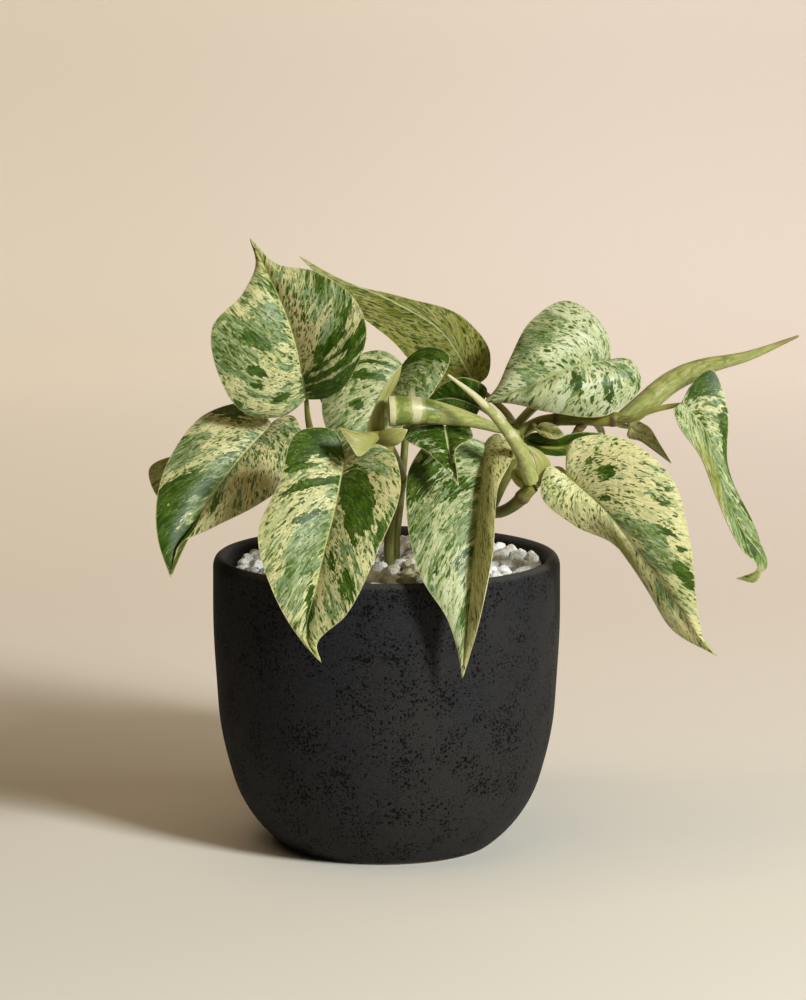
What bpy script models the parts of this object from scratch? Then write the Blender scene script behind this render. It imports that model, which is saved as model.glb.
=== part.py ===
"""A marbled heart-leaved trailing plant in a charcoal ceramic pot.

The pot holds soil under a layer of pebbles. Stems stand in plain holes in the soil,
and carry heart-shaped blades, rolled young leaves and leaf sheaths.
Sizes are in millimetres and become metres in MM. The origin is the centre of the
pot's foot, +Z is up and the plant is looked at along +Y.
"""
import math
import random

import bmesh
import bpy
import numpy as np
from mathutils import Vector

MM = 0.001

# Pot: turned ceramic, straight above and curving in to a small flat foot.
POT_HEIGHT = 126.0
POT_RADIUS = 75.0
POT_WALL = 6.5
LIP_DROP = 5.0
LIP_CREST_RADIUS = 72.2
FLOOR_THICKNESS = 8.0
FOOT_RADIUS = 46.7
# Radius and height down the outer side, and down the inside.
POT_SIDE = ((75.0, 94), (73.9, 73), (72.2, 52), (68.8, 36), (64.4, 22.5), (57.3, 10.8), (51.5, 4.4))
POT_INSIDE = ((68.4, 94), (67.3, 73), (65.4, 53), (61.8, 38), (56.6, 25), (49.0, 15), (40.0, 10))
POT_SEGMENTS = 36

# What fills the pot.
GAP = 0.35
SOIL_TOP = 112.0
GRAVEL_EDGE_TOP = 120.3
GRAVEL_CROWN = 3.5
GRAVEL_TILT = 0.9
GRAVEL_CELLS = 32
SLAB_MARGIN = 3.0
SLAB_DROP = 5.0
PEBBLE_SEED = 11
PEBBLE_TRIES = 4000
PEBBLE_SIZE = 12.5
PEBBLE_SHARES = 0.4, 0.58
PEBBLE_LIFTS = -0.6, 0.8
PEBBLE_SPACING = 0.86
PEBBLE_OVERLAP = 1.12
PEBBLE_FLATNESS = 0.75
PEBBLE_GAP_DEPTH = 4.5
HOLE_BOTTOM = 92.0
HOLE_CLEARANCE = 0.55
HOLE_SIDES = 10
TOOL_REACH = 20.0
STEM_RISE = 3.0
WELD = 0.00001

# Blades: veins along a margin, and steps across both halves, for each size of blade.
BLADE_THICKNESS = 0.8
LARGE_BLADE = 12, 6
SMALL_BLADE = 8, 4
SHEATH_BLADE = 6, 4
VEIN_FAN = 2.0
VEIN_ARC = 0.22
RIPPLE_LEFT = 9.0
RIPPLE_RIGHT = 10.8
PETIOLE_RADIUS = 2.0
PETIOLE_TIP_RADIUS = 0.8

# Outlines and stem routes are drawn from the front, on the upright plane through
# the pot's axis, as seen from this eye. Each point is (x, height, depth), and it is
# moved along its own sight line to the depth, which is its true Y.
EYE = Vector((7.1, -1363.0, 365.3))

LEAVES = {
    "leaf_upper_left": dict(
        midrib=((-34.5, 193.5, -24), (-38.5, 216, -27), (-43, 230, -27), (-51.5, 249, -20), (-58, 262, -12)),
        left=((-43.5, 186.5, -25), (-60.5, 187.5, -29), (-72.5, 205, -33), (-74.5, 224, -34),
              (-61, 239, -27), (-55.5, 252, -18)),
        right=((-25.5, 194, -27), (-13, 207, -37), (-8.5, 223, -40), (-12.5, 234.5, -36),
               (-29, 247.5, -26), (-47.5, 251.5, -18)),
        cup=3.5, wave=1.0),
    "leaf_top_back": dict(
        midrib=((38, 199.5, 16), (24, 222, 17), (3, 235, 15), (-22, 246, 11), (-37, 254.5, 8)),
        left=((42.5, 202, 16), (44.5, 212, 16), (34, 227.5, 17), (6, 237.5, 16), (-16, 243, 12)),
        right=((26, 192, 18), (16, 202, 19), (4, 217, 18), (-11, 229, 15), (-25, 242.5, 10)),
        cup=-1.0, wave=0.8, underside_seen=True),
    "leaf_left": dict(
        midrib=((-49.5, 182.5, -13), (-62, 169, -24), (-76, 150, -34), (-87, 130, -44), (-93.5, 115.5, -50)),
        left=((-58.5, 190.5, -9), (-75.5, 187.5, -12), (-92.5, 169.5, -26), (-99, 149.5, -38),
              (-98.5, 130.5, -47)),
        right=((-41.5, 186, -13), (-36, 175.5, -22), (-42.5, 158.5, -32), (-55.5, 147.5, -40),
               (-76, 136.5, -46), (-89.5, 129.5, -49)),
        cup=3.0, wave=1.0),
    "leaf_left_back": dict(
        midrib=((-61, 178, 14), (-70, 168, 20), (-78, 155, 24), (-81, 141, 24)),
        left=((-69, 181, 14), (-84, 171, 16), (-102.5, 162, 18), (-100, 153, 21)),
        right=((-52, 181, 12), (-49, 165, 10), (-60, 149, 15), (-73, 141, 21)),
        cup=2.5, wave=0.8),
    "leaf_centre_back": dict(
        midrib=((7, 208, -9), (2.5, 196, -14), (-6, 180, -20), (-15, 166, -24)),
        left=((-0.5, 213.5, -8), (-15.5, 210, -9), (-27.5, 194, -14), (-26, 181, -20), (-19, 170, -23)),
        right=((16, 215, -12), (27, 212, -20), (20, 197, -24), (9, 183, -26), (-6, 170, -26)),
        cup=3.0, wave=1.2),
    "leaf_front_right": dict(
        midrib=((42.5, 174, -42), (40.5, 151, -62), (37.5, 121.5, -77), (34.5, 85.5, -84), (33, 71, -82)),
        left=((23, 177.5, -44), (10.5, 164, -54), (8.5, 143.5, -68), (16, 113.5, -82),
              (26.5, 97, -85), (31, 83, -84)),
        right=((47, 178, -45), (53.5, 172.5, -52), (47.5, 153, -75), (45.5, 123, -90), (39, 91, -89)),
        cup=3.0, wave=0.8),
    "leaf_front_left": dict(
        midrib=((-18, 167.5, -62), (-22, 146.5, -76), (-29.5, 115, -86), (-33.5, 85, -88), (-28.5, 78, -87)),
        left=((-22, 179, -60), (-36.5, 179.5, -62), (-46.5, 156.5, -76), (-55.5, 135.5, -88),
              (-49, 108.5, -92), (-36, 86.5, -89)),
        right=((-10.5, 174, -66), (1.5, 171, -70), (6, 159.5, -80), (-4, 126.5, -92),
               (-17, 99.5, -94), (-30.5, 84.5, -89)),
        cup=3.0, wave=1.0),
    "leaf_right_low": dict(
        midrib=((77.5, 160, -50), (94, 145, -56), (114, 120, -54), (131, 97, -46), (143.5, 81, -38)),
        left=((70, 164, -52), (66.5, 153, -53), (81, 138.5, -50), (97, 130.5, -44), (112, 112, -38),
              (124.5, 92.5, -38)),
        right=((79, 174, -52), (97, 177.5, -52), (120, 162.5, -58), (131.5, 130.5, -58), (135.5, 98, -47),
               (138, 87, -42)),
        cup=3.5, wave=1.0),
    "leaf_right_high": dict(
        midrib=((95.5, 210, -16), (81.5, 207.5, -22), (57.5, 197, -24), (42, 192, -22)),
        left=((91, 226, -13), (76, 235.5, -10), (62, 227, -13), (52.5, 209.5, -19), (47, 197.5, -22)),
        right=((105, 209.5, -14), (109, 200, -16), (97, 187.5, -22), (70.5, 187.5, -26), (53, 191.5, -24)),
        cup=6.0, wave=0.6),
    "leaf_far_right": dict(
        midrib=((127, 192, -22), (137, 180, -25), (144, 158, -27), (153, 137, -28), (162.5, 122.5, -28),
                (160, 113.5, -26), (151.5, 115, -24)),
        left=((123.5, 189.5, -25), (125, 183, -30), (135, 168.5, -34), (142, 152, -34), (154, 127, -31),
              (160.5, 119.5, -28)),
        right=((130.5, 199, -20), (139, 206, -18), (145.5, 193, -20), (147.5, 162.5, -22), (161, 132, -24),
               (164.5, 120, -26)),
        cup=1.0, wave=0.4),
    "leaf_small_right": dict(
        midrib=((104.5, 181, -8), (112.5, 175.5, -4), (122.5, 165.5, 0)),
        left=((103.5, 177.5, -6), (109.5, 175, 0), (116.5, 170, 2)),
        right=((106.5, 184.5, -8), (112, 184, -5), (118, 173.5, 0)),
        cup=0.8, wave=0.0),
    "leaf_under_shoot": dict(
        midrib=((25, 181.2, -55), (27.5, 168.5, -67), (31, 155.5, -77)),
        left=((14, 185, -45), (6, 179, -51), (18.5, 169.5, -66), (27, 161, -74)),
        right=((34, 182.5, -44), (37, 177, -55), (29.5, 170, -70), (30.5, 161.5, -75)),
        cup=1.0, wave=0.0),
    "leaf_dark_small": dict(
        midrib=((40, 189.5, -8), (29.5, 193.5, -4), (17, 192, 0)),
        left=((43, 197.5, -8), (34, 202.5, -6), (24, 199.5, -2)),
        right=((38.5, 186.5, -8), (30, 184, -9), (21.5, 186.5, -4)),
        cup=1.5, wave=0.0),
    "leaf_striped_small": dict(
        midrib=((58.5, 175.5, -17), (70.5, 173, -20), (93, 178.5, -18)),
        left=((63, 178.5, -18), (71, 177, -22), (85, 179, -21)),
        right=((64, 171, -20), (76, 168.5, -24), (90, 174, -21)),
        cup=0.8, wave=0.0),
    "leaf_pale_small": dict(
        midrib=((64, 180.5, -21), (70.5, 178.5, -25), (77, 177.5, -27)),
        left=((66, 182.5, -22), (72.5, 182, -26)),
        right=((66, 178, -24), (73, 176, -29)),
        cup=0.5, wave=0.0),
    "leaf_back_left": dict(
        midrib=((-25, 152, 80), (-27, 132, 93), (-30, 106, 98), (-33, 78, 94)),
        left=((-30, 158, 78), (-44, 157, 80), (-51, 141, 88), (-47, 112, 95), (-38, 88, 95)),
        right=((-19, 158, 78), (-6, 157, 80), (-1, 140, 88), (-8, 110, 96), (-25, 86, 95)),
        cup=-3.0, wave=1.0, underside_seen=True),
    "leaf_back_middle": dict(
        midrib=((27, 135, 88), (28, 117, 98), (30, 92, 101), (32, 66, 96)),
        left=((22, 140, 86), (10, 138, 87), (2, 120, 94), (9, 92, 99), (24, 72, 97)),
        right=((32, 140, 86), (41, 137, 88), (50, 120, 98), (48, 93, 102), (38, 74, 98)),
        cup=-3.0, wave=1.0, underside_seen=True),
    "leaf_back_high": dict(
        midrib=((-33, 205, 26), (-38, 217, 34), (-44, 229, 38), (-52, 240, 38)),
        left=((-39, 200, 26), (-52, 200, 26), (-62, 209, 28), (-64, 222, 32), (-59, 234, 36)),
        right=((-28, 202, 30), (-19, 208, 36), (-17, 221, 42), (-26, 233, 43), (-41, 238, 41)),
        cup=-2.5, wave=0.8, underside_seen=True),
    "leaf_right_back": dict(
        midrib=((96, 166, 10), (101, 155, 20), (108, 141, 26), (115, 126, 27)),
        left=((91, 167, 12), (86, 157, 20), (91, 144, 26), (103, 131, 28)),
        right=((101, 169, 8), (112, 165, 10), (119, 152, 18), (120, 138, 24)),
        cup=-2.0, wave=0.8, underside_seen=True),
    "leaf_back_right": dict(
        midrib=((57, 121, 78), (61, 105, 82), (63, 84, 82), (60, 60, 77)),
        left=((52, 124, 83), (43, 118, 91), (41, 100, 97), (47, 80, 92), (55, 65, 82)),
        right=((61, 123, 73), (67, 115, 67), (71, 98, 66), (70, 80, 70), (63, 65, 75)),
        cup=-2.5, wave=0.8, underside_seen=True),
}

# Stems: the foot is the hole's true (x, y). Each tube has its route, its radius along
# it, and the blade that it ends under, if any.
STEMS = {
    "vine_front": dict(foot=(1, -12), radius=2.2, tubes=(
        dict(route=((2.5, 146, -20), (6.5, 157, -32), (3, 168, -46), (-3, 177, -56)),
             radii=(2.2, 2.1, 2.4, 3.2)),
        dict(route=((-1, 176, -57), (-8, 175.5, -60), (-13.5, 171.5, -60)),
             radii=(3.4, 3.2, 1.8), blade="leaf_front_left"),
    )),
    "vine_low": dict(foot=(29, -16), radius=2.3, tubes=(
        dict(route=((43, 143.5, -30), (50, 144.5, -38), (57, 149, -46), (62.5, 155.5, -50)),
             radii=(2.4, 2.5, 2.5, 3.2)),
        dict(route=((63, 156, -49), (69, 160.5, -46), (73.5, 162.5, -45)),
             radii=(2.6, 2.0, 1.6), blade="leaf_right_low"),
    )),
    "vine_right": dict(foot=(33, 2), radius=2.3, tubes=(
        dict(route=((44, 144, -6), (49.5, 156, -12), (55, 167, -14), (57.5, 178, -13), (64, 182.5, -12),
                    (81, 184.5, -13), (95, 184.3, -14), (101.5, 184.8, -14.5)),
             radii=(2.3, 2.4, 2.5, 2.6, 2.6, 2.6, 2.7, 3.0)),
        dict(route=((55, 181, -12), (63, 189.5, -2), (75, 199, 0), (88, 207, -6)),
             radii=(2.0, 2.0, 1.8, 1.4), blade="leaf_right_high"),
        dict(route=((98, 184, -15), (106, 185, -19), (113, 188, -19), (121, 190, -19)),
             radii=(1.7, 1.4, 1.3, 1.2), blade="leaf_far_right"),
        dict(route=((98, 183.5, -13), (101, 182, -10)), radii=(1.6, 1.3), blade="leaf_small_right"),
        dict(route=((58.5, 180, -12), (58.5, 178, -14)), radii=(1.6, 1.3), blade="leaf_striped_small"),
        dict(route=((63.5, 182, -13), (63.5, 181.5, -17)), radii=(1.6, 1.2), blade="leaf_pale_small"),
        dict(route=((89, 184, -13), (92, 180, -3), (94, 172, 6)),
             radii=(1.8, 1.6, 1.3), blade="leaf_right_back"),
        dict(route=((55.5, 169, -14), (52, 168, -24), (46, 169, -34)),
             radii=(1.8, 1.7, 1.3), blade="leaf_front_right"),
        dict(route=((56, 181, -12), (49, 184, -4), (43, 188, -1)),
             radii=(1.6, 1.5, 1.2), blade="leaf_dark_small"),
        dict(route=((56, 180, -11), (50, 189, 4), (42, 196, 6)),
             radii=(1.8, 1.6, 1.2), blade="leaf_top_back"),
        dict(route=((85.5, 184, -13), (82.5, 180, -14), (80, 176.5, -15)), radii=(2.0, 1.8, 1.2)),
    )),
    "stem_upper_left": dict(foot=(-12, 2), radius=1.8, tubes=(
        dict(route=((-17, 145, -4), (-27, 165, -10), (-33, 181, -16)),
             radii=(1.8, 1.7, 1.6, 1.5), blade="leaf_upper_left"),
    )),
    "stem_left": dict(foot=(-21, -6), radius=1.7, tubes=(
        dict(route=((-27, 143, -4), (-36, 162, 0), (-45, 177, -4)),
             radii=(1.7, 1.6, 1.5, 1.4), blade="leaf_left"),
    )),
    "stem_centre_back": dict(foot=(4, 3), radius=1.8, tubes=(
        dict(route=((6, 150, 2), (8, 175, 0), (9, 196, -2)),
             radii=(1.8, 1.7, 1.6, 1.5), blade="leaf_centre_back"),
    )),
    "stem_back_high": dict(foot=(-6, 7), radius=1.8, tubes=(
        dict(route=((-11, 148, 16), (-19, 172, 22), (-27, 193, 22)),
             radii=(1.8, 1.7, 1.6, 1.5), blade="leaf_back_high"),
    )),
    "stem_left_back": dict(foot=(-23, 7), radius=1.7, tubes=(
        dict(route=((-30, 145, 14), (-43, 163, 20), (-55, 175, 22)),
             radii=(1.7, 1.6, 1.5, 1.4), blade="leaf_left_back"),
    )),
    "stem_back_left": dict(foot=(-11, 13), radius=1.7, tubes=(
        dict(route=((-15, 140, 28), (-20, 156, 50), (-24, 158, 68)),
             radii=(1.7, 1.7, 1.6, 1.4), blade="leaf_back_left"),
    )),
    "stem_back_middle": dict(foot=(12, 14), radius=1.7, tubes=(
        dict(route=((18, 138, 30), (24, 149, 54), (27, 147, 74)),
             radii=(1.7, 1.7, 1.6, 1.4), blade="leaf_back_middle"),
    )),
    "stem_back_right": dict(foot=(24, 13), radius=1.7, tubes=(
        dict(route=((29, 138, 28), (36, 146, 50), (41, 142, 68), (47, 131, 80)),
             radii=(1.7, 1.7, 1.6, 1.5, 1.4), blade="leaf_back_right"),
    )),
}

# Rolled leaves and the thick young internode: route and radius along it.
ROLLED = {
    "shoot_front": dict(
        route=((0.5, 188.2, -60), (13, 188.6, -59), (26, 186.6, -55), (37, 184, -47),
               (47, 180.8, -34), (53, 179.4, -23), (56.3, 178.4, -15.8)),
        radii=(6.6, 5.6, 4.4, 2.9, 2.0, 1.6, 1.3)),
    "rolled_leaf_centre": dict(
        route=((62.3, 160.8, -53.2), (57.5, 171, -60), (49.5, 182.5, -66),
               (38.5, 194, -72), (26.2, 203.8, -79)),
        radii=(2.7, 3.1, 2.3, 1.2, 0.4)),
    "rolled_leaf_right": dict(
        route=((103.7, 185.6, -13.2), (112.5, 193, -11.5), (121, 200, -9), (134, 206.5, -8),
               (155, 212, -9), (176.5, 220.5, -10)),
        radii=(3.0, 4.7, 4.6, 2.9, 1.8, 0.5)),
}

# Sheaths are small folded blades fused to the stem that carries them.
SHEATHS = {
    "vine_front": (
        dict(midrib=((-5, 175, -55), (-2.5, 189, -54), (6.5, 208.5, -50)),
             left=((-8, 178, -56), (-5, 190, -56), (2, 203, -52)),
             right=((-2, 178, -53), (-0.5, 191, -51), (5, 202, -50)), cup=0.5),
        dict(midrib=((-4, 175.5, -60), (2, 177, -67), (9, 180, -68)),
             left=((-2.5, 179, -63), (3, 180.5, -67)),
             right=((-1, 173.5, -62), (6, 174.5, -67)), cup=1.0),
        dict(midrib=((-3.5, 176, -62), (-10, 177, -72.5), (-20, 180.5, -75)),
             left=((-5, 179, -63), (-13, 179.5, -72)),
             right=((-5.5, 173.5, -71), (-13.5, 169.5, -77), (-17.5, 174, -77)), cup=1.0),
    ),
    "vine_low": (
        dict(midrib=((63, 157, -50), (67.5, 164.5, -50), (58.5, 175, -50)),
             left=((65, 161, -52), (65, 168, -53)),
             right=((68, 160, -48), (71, 167, -48), (65.5, 172.5, -48)), cup=0.8),
        dict(midrib=((62, 155, -50), (55.5, 160.5, -47), (57, 167, -46)),
             left=((58.5, 154.5, -50), (53.5, 160, -49)),
             right=((60, 158.5, -48), (57.5, 162, -47)), cup=0.5),
    ),
}


def in_place(point):
    """The true place, in metres, of a point drawn from the front."""
    x, height, depth = point
    sight = Vector((x, 0.0, height)) - EYE
    return (EYE + sight * ((depth - EYE.y) / -EYE.y)) * MM


def smooth_path(points, count=160):
    """Evenly spaced points on a smooth curve through the given ones."""
    knots = np.array([tuple(p) for p in points])
    gaps = np.linalg.norm(np.diff(knots, axis=0), axis=1)
    spots = np.concatenate([[0.0], np.cumsum(gaps)])
    slopes = np.gradient(knots, spots, axis=0)
    at = np.linspace(0.0, spots[-1], count)
    piece = np.clip(np.searchsorted(spots, at, side="right") - 1, 0, len(gaps) - 1)
    size = gaps[piece][:, None]
    t = ((at - spots[piece]) / gaps[piece])[:, None]
    curve = (knots[piece] * (2 * t**3 - 3 * t**2 + 1) + knots[piece + 1] * (3 * t**2 - 2 * t**3)
             + slopes[piece] * size * (t**3 - 2 * t**2 + t) + slopes[piece + 1] * size * (t**3 - t**2))
    steps = np.linalg.norm(np.diff(curve, axis=0), axis=1)
    run = np.concatenate([[0.0], np.cumsum(steps)])
    even = np.linspace(0.0, run[-1], count)
    return np.stack([np.interp(even, run, curve[:, axis]) for axis in range(3)], axis=1)


def along(path, share):
    """The point at a share, 0 to 1, of a path's length."""
    spot = min(max(share, 0.0), 1.0) * (len(path) - 1)
    low = min(int(spot), len(path) - 2)
    return Vector(path[low] + (path[low + 1] - path[low]) * (spot - low))


class Blade:
    """A leaf's surface between its midrib and its two margins.

    A vein leaves the midrib at every share of the margin's length. The veins crowd
    together at the sinus, so the lobes behind it fan out from one point.
    """

    def __init__(self, form):
        midrib = [in_place(p) for p in form["midrib"]]
        ends = midrib[0], midrib[-1]
        self.midrib = smooth_path(midrib)
        self.left = smooth_path([ends[0], *[in_place(p) for p in form["left"]], ends[1]])
        self.right = smooth_path([ends[0], *[in_place(p) for p in form["right"]], ends[1]])
        self.cup = form["cup"] * MM
        self.wave = form.get("wave", 0.0) * MM
        seen = (EYE * MM - along(self.midrib, 0.3)).normalized()
        self.side = 1.0
        facing = self.normal(0.4).dot(seen) > 0
        if facing == form.get("underside_seen", False):
            self.side = -1.0

    def normal(self, share):
        """The upper side's direction where a vein leaves the midrib."""
        share = min(max(share, 0.12), 0.9)
        start = share**VEIN_FAN
        run = along(self.midrib, start + 0.04) - along(self.midrib, start - 0.04)
        across = along(self.right, share) - along(self.left, share)
        return run.cross(across).normalized() * self.side

    def point(self, share, across):
        """The point at a share of the margin and from -1, left, to 1, right."""
        start = share**VEIN_FAN
        root = along(self.midrib, start)
        margin = self.right if across > 0 else self.left
        reach = abs(across)
        chord = along(margin, share) - root
        forward = (along(self.midrib, start + 0.03) - along(self.midrib, start - 0.03)).normalized()
        bow = math.sin(math.pi * share) * reach * (1.0 - reach)
        place = root + chord * reach - forward * (chord.length * VEIN_ARC * bow)
        rise = self.cup * math.sin(math.pi * share)**0.6 * 4.0 * reach * (1.0 - reach)
        beat = RIPPLE_RIGHT if across > 0 else RIPPLE_LEFT
        ripple = self.wave * math.sin(math.pi * share) * reach**2 * math.sin(beat * share)
        return place + self.normal(share) * (rise + ripple)


def empty_scene():
    """Removes what the scene holds."""
    for thing in list(bpy.data.objects):
        bpy.data.objects.remove(thing, do_unlink=True)


def new_collection(name):
    group = bpy.data.collections.new(name)
    bpy.context.scene.collection.children.link(group)
    return group


def finish(name, colour, roughness):
    """A plain Principled material."""
    material = bpy.data.materials.new(name)
    material.use_nodes = True
    shader = material.node_tree.nodes["Principled BSDF"]
    shader.inputs["Base Color"].default_value = (*colour, 1.0)
    shader.inputs["Roughness"].default_value = roughness
    return material


def add_object(name, mesh, group, material=None):
    """Links a mesh as a named object, smooth where its faces meet gently."""
    piece = bpy.data.objects.new(name, mesh)
    group.objects.link(piece)
    if material:
        mesh.materials.clear()
        mesh.materials.append(material)
        mesh.shade_smooth()
        mesh.set_sharp_from_angle(angle=math.radians(50))
    return piece


def mesh_from(shape, name):
    """Turns a bmesh into a mesh."""
    mesh = bpy.data.meshes.new(name)
    shape.to_mesh(mesh)
    shape.free()
    return mesh


def as_mesh(piece):
    """Replaces an object by its evaluated mesh, welded and in world space."""
    bpy.context.view_layer.update()
    graph = bpy.context.evaluated_depsgraph_get()
    mesh = bpy.data.meshes.new_from_object(piece.evaluated_get(graph))
    mesh.transform(piece.matrix_world)
    shape = bmesh.new()
    shape.from_mesh(mesh)
    bmesh.ops.remove_doubles(shape, verts=shape.verts, dist=WELD)
    bmesh.ops.recalc_face_normals(shape, faces=shape.faces)
    shape.to_mesh(mesh)
    shape.free()
    bpy.data.objects.remove(piece, do_unlink=True)
    return mesh


def cut_or_join(piece, tool, operation):
    """Adds a Boolean, applies it and removes the tool."""
    step = piece.modifiers.new(operation.title(), "BOOLEAN")
    step.operation = operation
    step.object = tool
    bpy.context.view_layer.update()
    graph = bpy.context.evaluated_depsgraph_get()
    mesh = bpy.data.meshes.new_from_object(piece.evaluated_get(graph))
    piece.modifiers.remove(step)
    piece.data = mesh
    bpy.data.objects.remove(tool, do_unlink=True)


def turned(name, profile, group, material):
    """A solid turned round Z from a profile of (radius, height) in millimetres."""
    shape = bmesh.new()
    spots = [shape.verts.new((radius * MM, 0.0, height * MM)) for radius, height in profile]
    for first, second in zip(spots, spots[1:]):
        shape.edges.new((first, second))
    piece = add_object(name, mesh_from(shape, name), group)
    piece.data.materials.append(material)
    screw = piece.modifiers.new("Turn", "SCREW")
    screw.steps = POT_SEGMENTS
    screw.render_steps = POT_SEGMENTS
    screw.use_merge_vertices = True
    screw.merge_threshold = 0.00005
    screw.use_smooth_shade = True
    return piece


def tube(name, route, radii, group, straight=0.0):
    """A round tapered stem along true points in metres, as a closed mesh object.

    Its first rings stand either side of a straight stretch of the given length.
    """
    path = smooth_path(route)
    length = sum((b - a).length for a, b in zip(route, route[1:]))
    shares = np.linspace(straight / length, 1.0, len(route) + (1 if straight else 2))
    if straight:
        shares = np.insert(shares, 0, 0.0)
    count = len(shares)
    thickness = np.interp(shares, np.linspace(0.0, 1.0, len(radii)), radii)
    curve = bpy.data.curves.new(name, "CURVE")
    curve.dimensions = "3D"
    curve.bevel_depth = MM
    curve.bevel_resolution = 2 if max(radii) > PETIOLE_RADIUS else 1
    curve.use_fill_caps = True
    spline = curve.splines.new("POLY")
    spline.points.add(count - 1)
    for spot, share, radius in zip(spline.points, shares, thickness):
        spot.co = (*along(path, share), 1.0)
        spot.radius = radius
    piece = bpy.data.objects.new(name, curve)
    group.objects.link(piece)
    return add_object(name, as_mesh(piece), group)


def blade_sheet(name, blade, rows, columns):
    """A blade as an open sheet of triangles."""
    shape = bmesh.new()
    bmesh.ops.create_grid(shape, x_segments=rows, y_segments=columns, size=1.0)
    for spot in shape.verts:
        spot.co = blade.point((spot.co.x + 1.0) / 2.0, spot.co.y)
    bmesh.ops.remove_doubles(shape, verts=shape.verts, dist=WELD)
    bmesh.ops.triangulate(shape, faces=shape.faces, quad_method="SHORT_EDGE")
    return mesh_from(shape, name)


def thicken(piece):
    """Gives a sheet the thickness of a blade."""
    solid = piece.modifiers.new("Thickness", "SOLIDIFY")
    solid.thickness = BLADE_THICKNESS * MM
    solid.offset = 0.0


def petiole_end(blade, before, radius):
    """Where a petiole stops, just short of the blade's underside at its sinus."""
    sinus = along(blade.midrib, 0.0)
    upper = blade.normal(0.2)
    heading = (sinus - before).normalized()
    lean = math.sqrt(max(0.0, 1.0 - heading.dot(upper)**2))
    return sinus - upper * (BLADE_THICKNESS / 2 + GAP + radius * lean) * MM


def build_pot(group):
    lip = []
    outer_width = POT_RADIUS - LIP_CREST_RADIUS
    inner_width = LIP_CREST_RADIUS - POT_RADIUS + POT_WALL
    for degrees in (180, 150, 120, 90, 60, 30, 0):
        turn = math.radians(degrees)
        width = inner_width if degrees > 90 else outer_width
        radius = LIP_CREST_RADIUS + width * math.cos(turn)
        lip.append((radius, POT_HEIGHT - LIP_DROP * (1 - math.sin(turn))))
    inside = [(0.0, FLOOR_THICKNESS), *reversed(POT_INSIDE)]
    profile = [*inside, *lip, *POT_SIDE, (FOOT_RADIUS, 0.0), (0.0, 0.0)]
    turned("pot", profile, group, finish("charcoal_ceramic", (0.028, 0.027, 0.026), 0.62))


def drill_stem_holes(piece):
    """Cuts a plain round hole for each stem."""
    for name, stem in STEMS.items():
        x, y = stem["foot"]
        depth = (POT_HEIGHT + TOOL_REACH - HOLE_BOTTOM + GAP) * MM
        bpy.ops.mesh.primitive_cylinder_add(
            vertices=HOLE_SIDES, radius=(stem["radius"] + HOLE_CLEARANCE) * MM, depth=depth,
            location=(x * MM, y * MM, (HOLE_BOTTOM - GAP) * MM + depth / 2))
        drill = bpy.context.object
        drill.name = name + "_hole"
        cut_or_join(piece, drill, "DIFFERENCE")


def build_soil(parts, group):
    wall = [(radius - GAP, height + GAP) for radius, height in POT_INSIDE]
    profile = [(0.0, SOIL_TOP), (POT_SIDE[0][0] - POT_WALL - GAP, SOIL_TOP), *wall,
               (0.0, FLOOR_THICKNESS + GAP)]
    turned_soil = turned("soil_blank", profile, group, finish("potting_soil", (0.045, 0.03, 0.02), 0.95))
    soil = add_object("soil", as_mesh(turned_soil), parts)
    drill_stem_holes(soil)


def pebble_tops(rng):
    """Centres and sizes of pebbles scattered without crowding over the pot's mouth."""
    reach = POT_RADIUS - POT_WALL - GAP
    tops = []
    for _ in range(PEBBLE_TRIES):
        angle = rng.uniform(0.0, 2.0 * math.pi)
        radius = reach * math.sqrt(rng.random())
        place = Vector((radius * math.cos(angle), radius * math.sin(angle)))
        size = PEBBLE_SIZE * rng.uniform(*PEBBLE_SHARES)
        if all((place - other).length > (size + wide) * PEBBLE_SPACING for other, wide, _ in tops):
            tops.append((place, size, rng.uniform(*PEBBLE_LIFTS)))
    return tops


def gravel_height(x, y, tops):
    """The height of the pebbles' upper surface at a place, all in millimetres."""
    reach = POT_RADIUS - POT_WALL
    crown = GRAVEL_EDGE_TOP + GRAVEL_TILT * x / reach
    crown += GRAVEL_CROWN * (1.0 - min(1.0, math.hypot(x, y) / reach)**2)
    height = crown - PEBBLE_GAP_DEPTH
    for place, size, lift in tops:
        away = math.hypot(x - place.x, y - place.y) / (size * PEBBLE_OVERLAP)
        if away < 1.0:
            fall = size * PEBBLE_FLATNESS * (1.0 - math.sqrt(1.0 - away**2))
            height = max(height, crown + lift - fall)
    return height


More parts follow.
